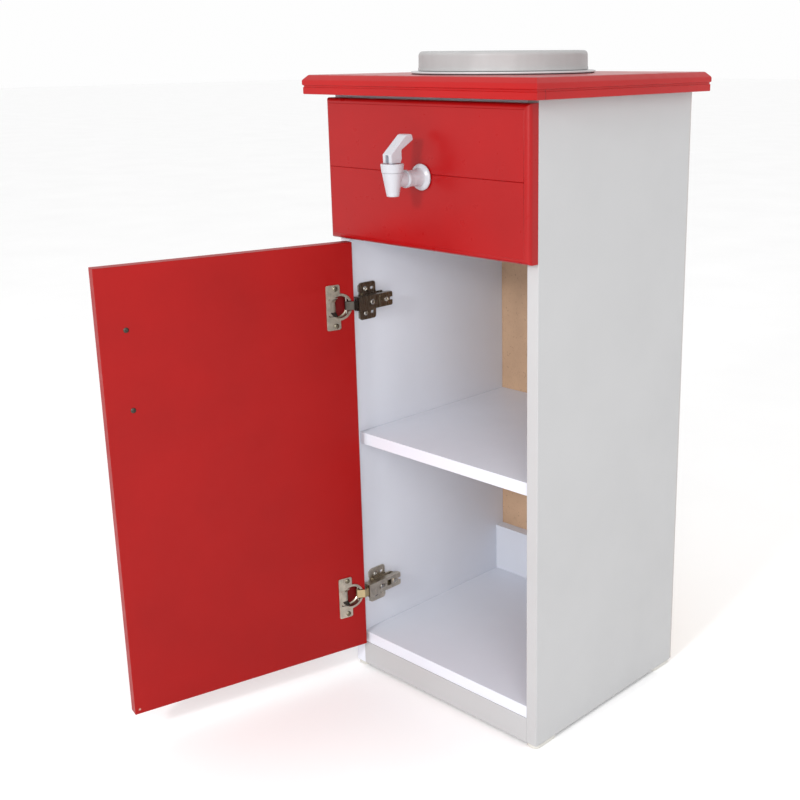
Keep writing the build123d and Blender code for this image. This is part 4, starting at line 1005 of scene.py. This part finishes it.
def build_plate(hinge_z):
    def build(bm):
        where = sideways(-INNER_HALF, 0, hinge_z)
        outline = rounded(
            [
                (-135.0, -PLATE_HALF, 4.0), (-107.0, -PLATE_HALF, 4.0), (-107.0, -PLATE_WAIST, 3.0),
                (-91.2, -7.6, 1.5), (-91.2, 7.6, 1.5), (-107.0, PLATE_WAIST, 3.0),
                (-107.0, PLATE_HALF, 4.0), (-135.0, PLATE_HALF, 4.0), (-135.0, PLATE_WAIST, 2.0),
                (-137.0, 7.0, 1.5), (-137.0, -7.0, 1.5), (-135.0, -PLATE_WAIST, 2.0),
            ],
            2.0,
            steps=6,
        )
        holes = []
        for middle in (-PLATE_SCREW_OFFSET, PLATE_SCREW_OFFSET):
            holes.append(rounded(rectangle(-116.2, -110.4, middle - 2.0, middle + 2.0), 1.9))
        add_prism(bm, where, outline, 0.0, PLATE_SHEET, holes=tuple(holes))
        # Rolled front lip of each wing
        for side in (-1, 1):
            low, high = sorted((side * 13.0, side * 22.0))
            add_prism(bm, where, rounded(rectangle(-136.2, -134.4, low, high), 0.7), 0.0, 3.1)

    return build


def build_ridge(hinge_z, window):
    """The stepped rail on the plate that the arm is screwed down onto."""

    def build(bm):
        where = sideways(-INNER_HALF, 0, hinge_z)
        holes = (rounded(ARM_WINDOW, 0.5),) if window else ()
        rail = rounded(rectangle(-135.0, -91.0, -7.2, 7.2), 1.0)
        add_prism(bm, where, rail, PLATE_SHEET, ARM_TOP - ARM_SHEET, holes=holes)
        add_prism(bm, where, rounded(rectangle(-131.0, -97.0, -10.6, 10.6), 1.0), PLATE_SHEET, 4.2)

    return build


for level, hinge_z in HINGE_LEVELS.items():
    # The upper hinge's arm and plate take a darker copy of the nickel, as painted shade
    arm_look = "shaded_nickel" if level == "upper" else "nickel"
    cup = mesh_object("hinge_cup_flange_" + level, build_cup(hinge_z))
    bowl = mesh_object("hinge_cup_bowl_" + level, build_cup_bowl(hinge_z))
    for pressing in (cup, bowl):
        cut(pressing, cut_link_gap(hinge_z))
    finish_piece(cup, "door", MATERIALS["nickel"], ("hinge_cup_" + level,), ease_mm=0.3)
    finish_piece(bowl, "door", MATERIALS["nickel"])
    tray = mesh_object("hinge_cup_tray_" + level, build_tray(hinge_z, (1,), True))
    finish_piece(tray, "door", MATERIALS["nickel"])
    # The tray's lower wall takes the dark screw metal as painted shade
    shaded_tray_wall = mesh_object("hinge_cup_tray_shaded_wall_" + level, build_tray(hinge_z, (-1,), False))
    finish_piece(shaded_tray_wall, "door", MATERIALS["dark_screw"])
    # The cup floor's red is a painted reflection of the door
    reflection_disc = mesh_object("hinge_cup_reflection_disc_" + level, build_cup_reflection_disc(hinge_z))
    finish_piece(reflection_disc, "door", MATERIALS["red_cup_reflection"])
    link = mesh_object("hinge_link_strip_" + level, build_link(hinge_z))
    # The upper link takes the dark screw metal as painted shade; the lower one the warm nickel
    link_look = "dark_screw" if level == "upper" else "warm_nickel"
    finish_piece(link, "hinge_links", MATERIALS[link_look], ("hinge_link_" + level,), ease_mm=0.25)
    arm = mesh_object("hinge_arm_channel_" + level, build_arm(hinge_z, level == "lower"))
    finish_piece(arm, "cabinet", MATERIALS[arm_look], ("hinge_arm_" + level,), ease_mm=0.3)
    walls = mesh_object("hinge_arm_walls_" + level, build_arm_sides(hinge_z))
    finish_piece(walls, "cabinet", MATERIALS[arm_look], ease_mm=0.2)
    wings = mesh_object("hinge_plate_wings_" + level, build_plate(hinge_z))
    finish_piece(wings, "cabinet", MATERIALS[arm_look], ("hinge_plate_" + level,), ease_mm=0.35)
    ridge = mesh_object("hinge_plate_ridge_" + level, build_ridge(hinge_z, level == "lower"))
    finish_piece(ridge, "cabinet", MATERIALS[arm_look], ease_mm=0.3)

cup_screw_places = [
    door_place(26.5, hinge_z + offset, -FLANGE_SHEET, turned=True)
    for hinge_z in HINGE_LEVELS.values()
    for offset in (-24, 24)
]
plate_screw_places = [
    sideways(-INNER_HALF + PLATE_SHEET, -125.0, hinge_z + offset)
    for hinge_z in HINGE_LEVELS.values()
    for offset in (-PLATE_SCREW_OFFSET, PLATE_SCREW_OFFSET)
]
adjust_places = [
    sideways(-INNER_HALF + ARM_TOP, screw_y, hinge_z)
    for hinge_z in HINGE_LEVELS.values()
    for screw_y in (SLOT_SCREW_Y, REAR_SCREW_Y)
]
handle_screw_places = [door_place(HANDLE_ALONG, z, 0, turned=True) for z in HANDLE_LEVELS]
# Name, places, then head radius and height, shank radius, length and recess
SCREW_SIZES = (
    ("cup_screws", cup_screw_places, (3.5, 1.5, 1.8, 11.0, 4.4)),
    ("plate_screws", plate_screw_places, (3.5, 1.7, 1.8, 11.0, 4.4)),
    ("adjust_screws", adjust_places, (3.5, 1.0, 2.5, 5.5, 4.6)),
    ("handle_screw_heads", handle_screw_places, (3.2, 1.1, 2.0, 24.0, 4.0)),
)
# Body, look and node of each, in the same order
SCREW_LOOKS = (
    ("door", "screw", "hinge_cup_screws"),
    ("cabinet", "steel", "hinge_plate_screws"),
    ("cabinet", "steel", "hinge_adjust_screws"),
    ("door", "dark_screw", "handle_screws"),
)
for (name, places, sizes), (body, look, node) in zip(SCREW_SIZES, SCREW_LOOKS):
    screw_group(name, places, *sizes, body, "screw_steel", look, (node,))

# ---------------------------------------------------------------- handle


def build_handle(bm):
    low, high = HANDLE_LEVELS
    bar_out = DOOR_THICKNESS + HANDLE_REACH
    route = [(DOOR_THICKNESS, low), (bar_out, low), (bar_out, high), (DOOR_THICKNESS, high)]
    outline = rounded(route, HANDLE_BEND, steps=10, closed=False)
    points = [DOOR @ Vector((HANDLE_ALONG, height, out)) for out, height in outline]
    add_tube(bm, points, HANDLE_RADIUS, 28)
    for height in HANDLE_LEVELS:
        collar = door_place(HANDLE_ALONG, height, DOOR_THICKNESS)
        foot = [(0, 0), (HANDLE_RADIUS, 0), (HANDLE_RADIUS, 1.2), (HANDLE_RADIUS - 0.1, 1.5), (0, 1.5)]
        add_lathe(bm, collar, foot, 28)


handle = mesh_object("door_handle_bar", build_handle)
finish_piece(handle, "door", MATERIALS["handle"], ("door_handle",), angle=50)

# ---------------------------------------------------------------- tub and lid


def build_tub(bm):
    where = upright(0, TUB_Y, 0)
    profile = [
        (0, 640.6), (30, 640.2), (86, 640.0), (89, 640.8), (90.3, 643.0), (97.9, 802.4), (98.2, 804.0),
        (110.8, 804.0), (111.8, 804.4), (112.0, 805.2), (111.7, 806.1), (110.6, 806.5), (99.4, 806.5),
        (98.3, 806.9), (98.0, 808.2), (98.0, 823.6), (97.6, 824.3), (96.6, 824.5), (95.7, 824.1),
        (95.5, 823.4), (95.5, 804.0), (87.8, 644.0), (86.4, 643.0), (0, 643.2),
    ]
    add_lathe(bm, where, profile, 128)


def cut_tub_hole(bm):
    where = place((TAP_X, FRONT_Y - 2, TAP_Z), (1, 0, 0), (0, -1, 0))
    add_prism(bm, where, circle(0, 0, 8.4, 40), -80, 0)


tub = mesh_object("tub_shell", build_tub)
cut(tub, cut_tub_hole)
finish_piece(tub, "cabinet", MATERIALS["tub"], ("water_tub",), angle=40)


def build_lid(bm):
    where = upright(0, TUB_Y, 0)
    bottom = 806.9
    top = 829.7
    radius = 103.0
    profile = [
        (radius - 2.2, bottom), (radius - 0.6, bottom), (radius, bottom + 0.5), (radius, bottom + 3.0),
        (radius - 0.5, bottom + 3.8), (radius - 0.8, top - 6.0),
        *[(r, z) for r, z in arc((radius - 5.8, top - 5.2), 5.0, 0, 90, 8)],
        (radius - 12.0, top), (radius - 14.0, top - 0.5), (radius - 16.0, top - 1.2),
        (radius - 20.0, top - 1.3), (0, top - 1.0), (0, top - 3.2), (radius - 17.0, top - 3.4),
        (radius - 10.0, top - 2.4), (radius - 4.2, top - 4.0), (radius - 3.0, top - 7.0),
        (radius - 2.2, bottom + 3.0), (radius - 2.2, bottom),
    ]
    add_lathe(bm, where, profile, 160)


lid = mesh_object("tub_lid_moulded", build_lid)
finish_piece(lid, "lid", MATERIALS["lid"], ("tub_lid",), angle=35)

# ---------------------------------------------------------------- tap


def build_tap_spout(bm):
    where = upright(TAP_X, TAP_AXIS_Y, 0)
    profile = [
        (4.5, 672.6), (5.0, 672.0), (6.5, 672.0), (7.1, 672.5), (11.7, 698.0), (11.9, 698.5),
        (10.9, 698.5), (10.9, 706.0), (8.7, 706.0), (8.6, 684.2), (4.6, 684.0), (4.5, 672.6),
    ]
    add_lathe(bm, where, profile, 72)


def build_tap_neck(bm):
    # Own Z runs from the valve towards the fascia
    where = place((TAP_X, 0, TAP_Z), (1, 0, 0), (0, 1, 0))
    profile = [
        (5.0, TAP_AXIS_Y + 5), (8.4, TAP_AXIS_Y + 5), (8.4, -193.0), (8.6, -192.4), (10.0, -192.1),
        (10.3, -191.5), (10.3, -189.3), (9.9, -188.6), (9.1, -188.2), (9.4, -176.0), (10.0, -171.6),
        (11.0, -169.8), (13.6, -168.4), (14.9, -167.4), (15.3, -166.4), (15.2, -165.5), (8.0, -165.5),
        (8.0, -93.4), (7.4, -92.8), (5.0, -92.8), (5.0, TAP_AXIS_Y + 5),
    ]
    add_lathe(bm, where, profile, 72)


def hollow_spout(bm):
    """The chamber and the outlet."""
    where = upright(TAP_X, TAP_AXIS_Y, 0)
    add_lathe(bm, where, [(0, 660.0), (4.5, 660.0), (4.5, 684.0), (8.6, 684.2), (8.6, 712.0), (0, 712.0)], 72)


tap_body = mesh_object("tap_body_moulded", build_tap_spout)
cut(tap_body, build_tap_neck, "UNION")
cut(tap_body, hollow_spout)
finish_piece(tap_body, "cabinet", MATERIALS["tap"], ("tap_body",), ease_mm=0.25, angle=42)


def build_tap_cap(bm):
    where = upright(TAP_X, TAP_AXIS_Y, 0)
    profile = [
        (11.15, 699.0), (12.0, 698.8), (12.3, 699.2), (13.2, 707.4), (13.1, 708.2), (12.5, 708.7),
        (11.2, 708.7), (10.6, 708.2), (2.1, 708.2), (2.1, 706.6), (11.0, 706.6), (11.15, 699.0),
    ]
    add_lathe(bm, where, profile, 72)


tap_cap = mesh_object("tap_cap_ring", build_tap_cap)
finish_piece(tap_cap, "cabinet", MATERIALS["tap"], ("tap_cap",), angle=42)

# Lever outline as (distance behind the tap's axis, height above the cap), with corner radii
LEVER_OUTLINE = [
    (-7.5, 0.3, 0.8), (-7.8, 10.3, 1.2), (16.5, 31.2, 6.0), (25.6, 31.6, 3.4), (26.6, 24.8, 1.6),
    (8.6, 14.6, 2.0), (8.9, 5.5, 3.0), (7.0, 0.3, 1.5),
]


def build_lever(bm):
    where = sideways(TAP_X, TAP_AXIS_Y, LEVER_SEAT_Z)
    add_prism(bm, where, rounded(LEVER_OUTLINE, 1.0, steps=7), -LEVER_HALF, LEVER_HALF)


def cut_lever_slot(bm):
    where = upright(TAP_X, TAP_AXIS_Y, LEVER_SEAT_Z)
    add_prism(bm, where, rounded(rectangle(-2.6, 2.6, -14.0, 4.8), 0.6), -1.0, 9.6)


lever = mesh_object("tap_lever_moulded", build_lever)
ease(lever, 0.9, segments=4)
cut(lever, cut_lever_slot)
finish_piece(lever, "lever", MATERIALS["tap"], ("tap_lever",), angle=42)

# ---------------------------------------------------------------- floor, light and camera


GROUND_HALF = 30.0


def build_ground(bm):
    corners = rectangle(-GROUND_HALF, GROUND_HALF, -GROUND_HALF, GROUND_HALF)
    bm.faces.new([bm.verts.new((x, y, 0)) for x, y in corners])


ground = mesh_object("ground", build_ground)
ground_surface = Surface("pale floor")
patches = ground_surface.ranged(ground_surface.noise(3.0), 0.3, 0.7)
ground_surface.colour(ground_surface.mixed(patches, linear(250, 250, 250), linear(253, 253, 253)))
ground_surface.shader.inputs["Roughness"].default_value = 0.8
ground.data.materials.append(ground_surface.material)

world = bpy.data.worlds.new("studio")
world.use_nodes = True
world.node_tree.nodes["Background"].inputs["Color"].default_value = (1.0, 1.0, 1.0, 1.0)
world.node_tree.nodes["Background"].inputs["Strength"].default_value = 0.99
bpy.context.scene.world = world


def area_light(name, azimuth, elevation, distance, size, power):
    """A square lamp aimed at the cabinet. Azimuth 0 is straight in front, positive to the right."""
    turn, rise = math.radians(azimuth), math.radians(elevation)
    aim = Vector((0, -0.05, 0.45))
    direction = Vector((math.sin(turn) * math.cos(rise), -math.cos(turn) * math.cos(rise), math.sin(rise)))
    data = bpy.data.lights.new(name, "AREA")
    data.size = size
    data.energy = power
    lamp = bpy.data.objects.new(name, data)
    lamp.location = aim + direction * distance
    lamp.rotation_mode = "QUATERNION"
    lamp.rotation_quaternion = (-direction).to_track_quat("-Z", "Y")
    bpy.context.collection.objects.link(lamp)


# Name, azimuth and elevation in degrees, distance and width in metres, power in watts
for lamp_sizes in (("key", 11, 22, 2.6, 0.3, 24), ("fill", 48, 18, 2.6, 1.3, 24)):
    area_light(*lamp_sizes)

CAMERA_PLACE = (0.96889, -1.11139, 0.82817)
CAMERA_YAW = 42.64
CAMERA_PITCH = -15.35
CAMERA_ROLL = -0.48
CAMERA_LENS = 52.37
CAMERA_SHIFT = (-0.104, -0.0357)
camera_data = bpy.data.cameras.new("camera")
camera_data.sensor_width = 36.0
camera_data.lens = CAMERA_LENS
camera_data.shift_x, camera_data.shift_y = CAMERA_SHIFT
camera = bpy.data.objects.new("camera", camera_data)
yaw, pitch, roll = (math.radians(a) for a in (CAMERA_YAW, CAMERA_PITCH, CAMERA_ROLL))
ahead = Vector((-math.sin(yaw) * math.cos(pitch), math.cos(yaw) * math.cos(pitch), math.sin(pitch)))
right = Vector((math.cos(yaw), math.sin(yaw), 0))
above = right.cross(ahead)
rolled_right = right * math.cos(roll) + above * math.sin(roll)
rolled_up = above * math.cos(roll) - right * math.sin(roll)
camera.matrix_world = (
    Matrix.Translation(CAMERA_PLACE) @ Matrix((rolled_right, rolled_up, -ahead)).transposed().to_4x4()
)
bpy.context.collection.objects.link(camera)
bpy.context.scene.camera = camera
bpy.context.scene.view_settings.view_transform = "Standard"
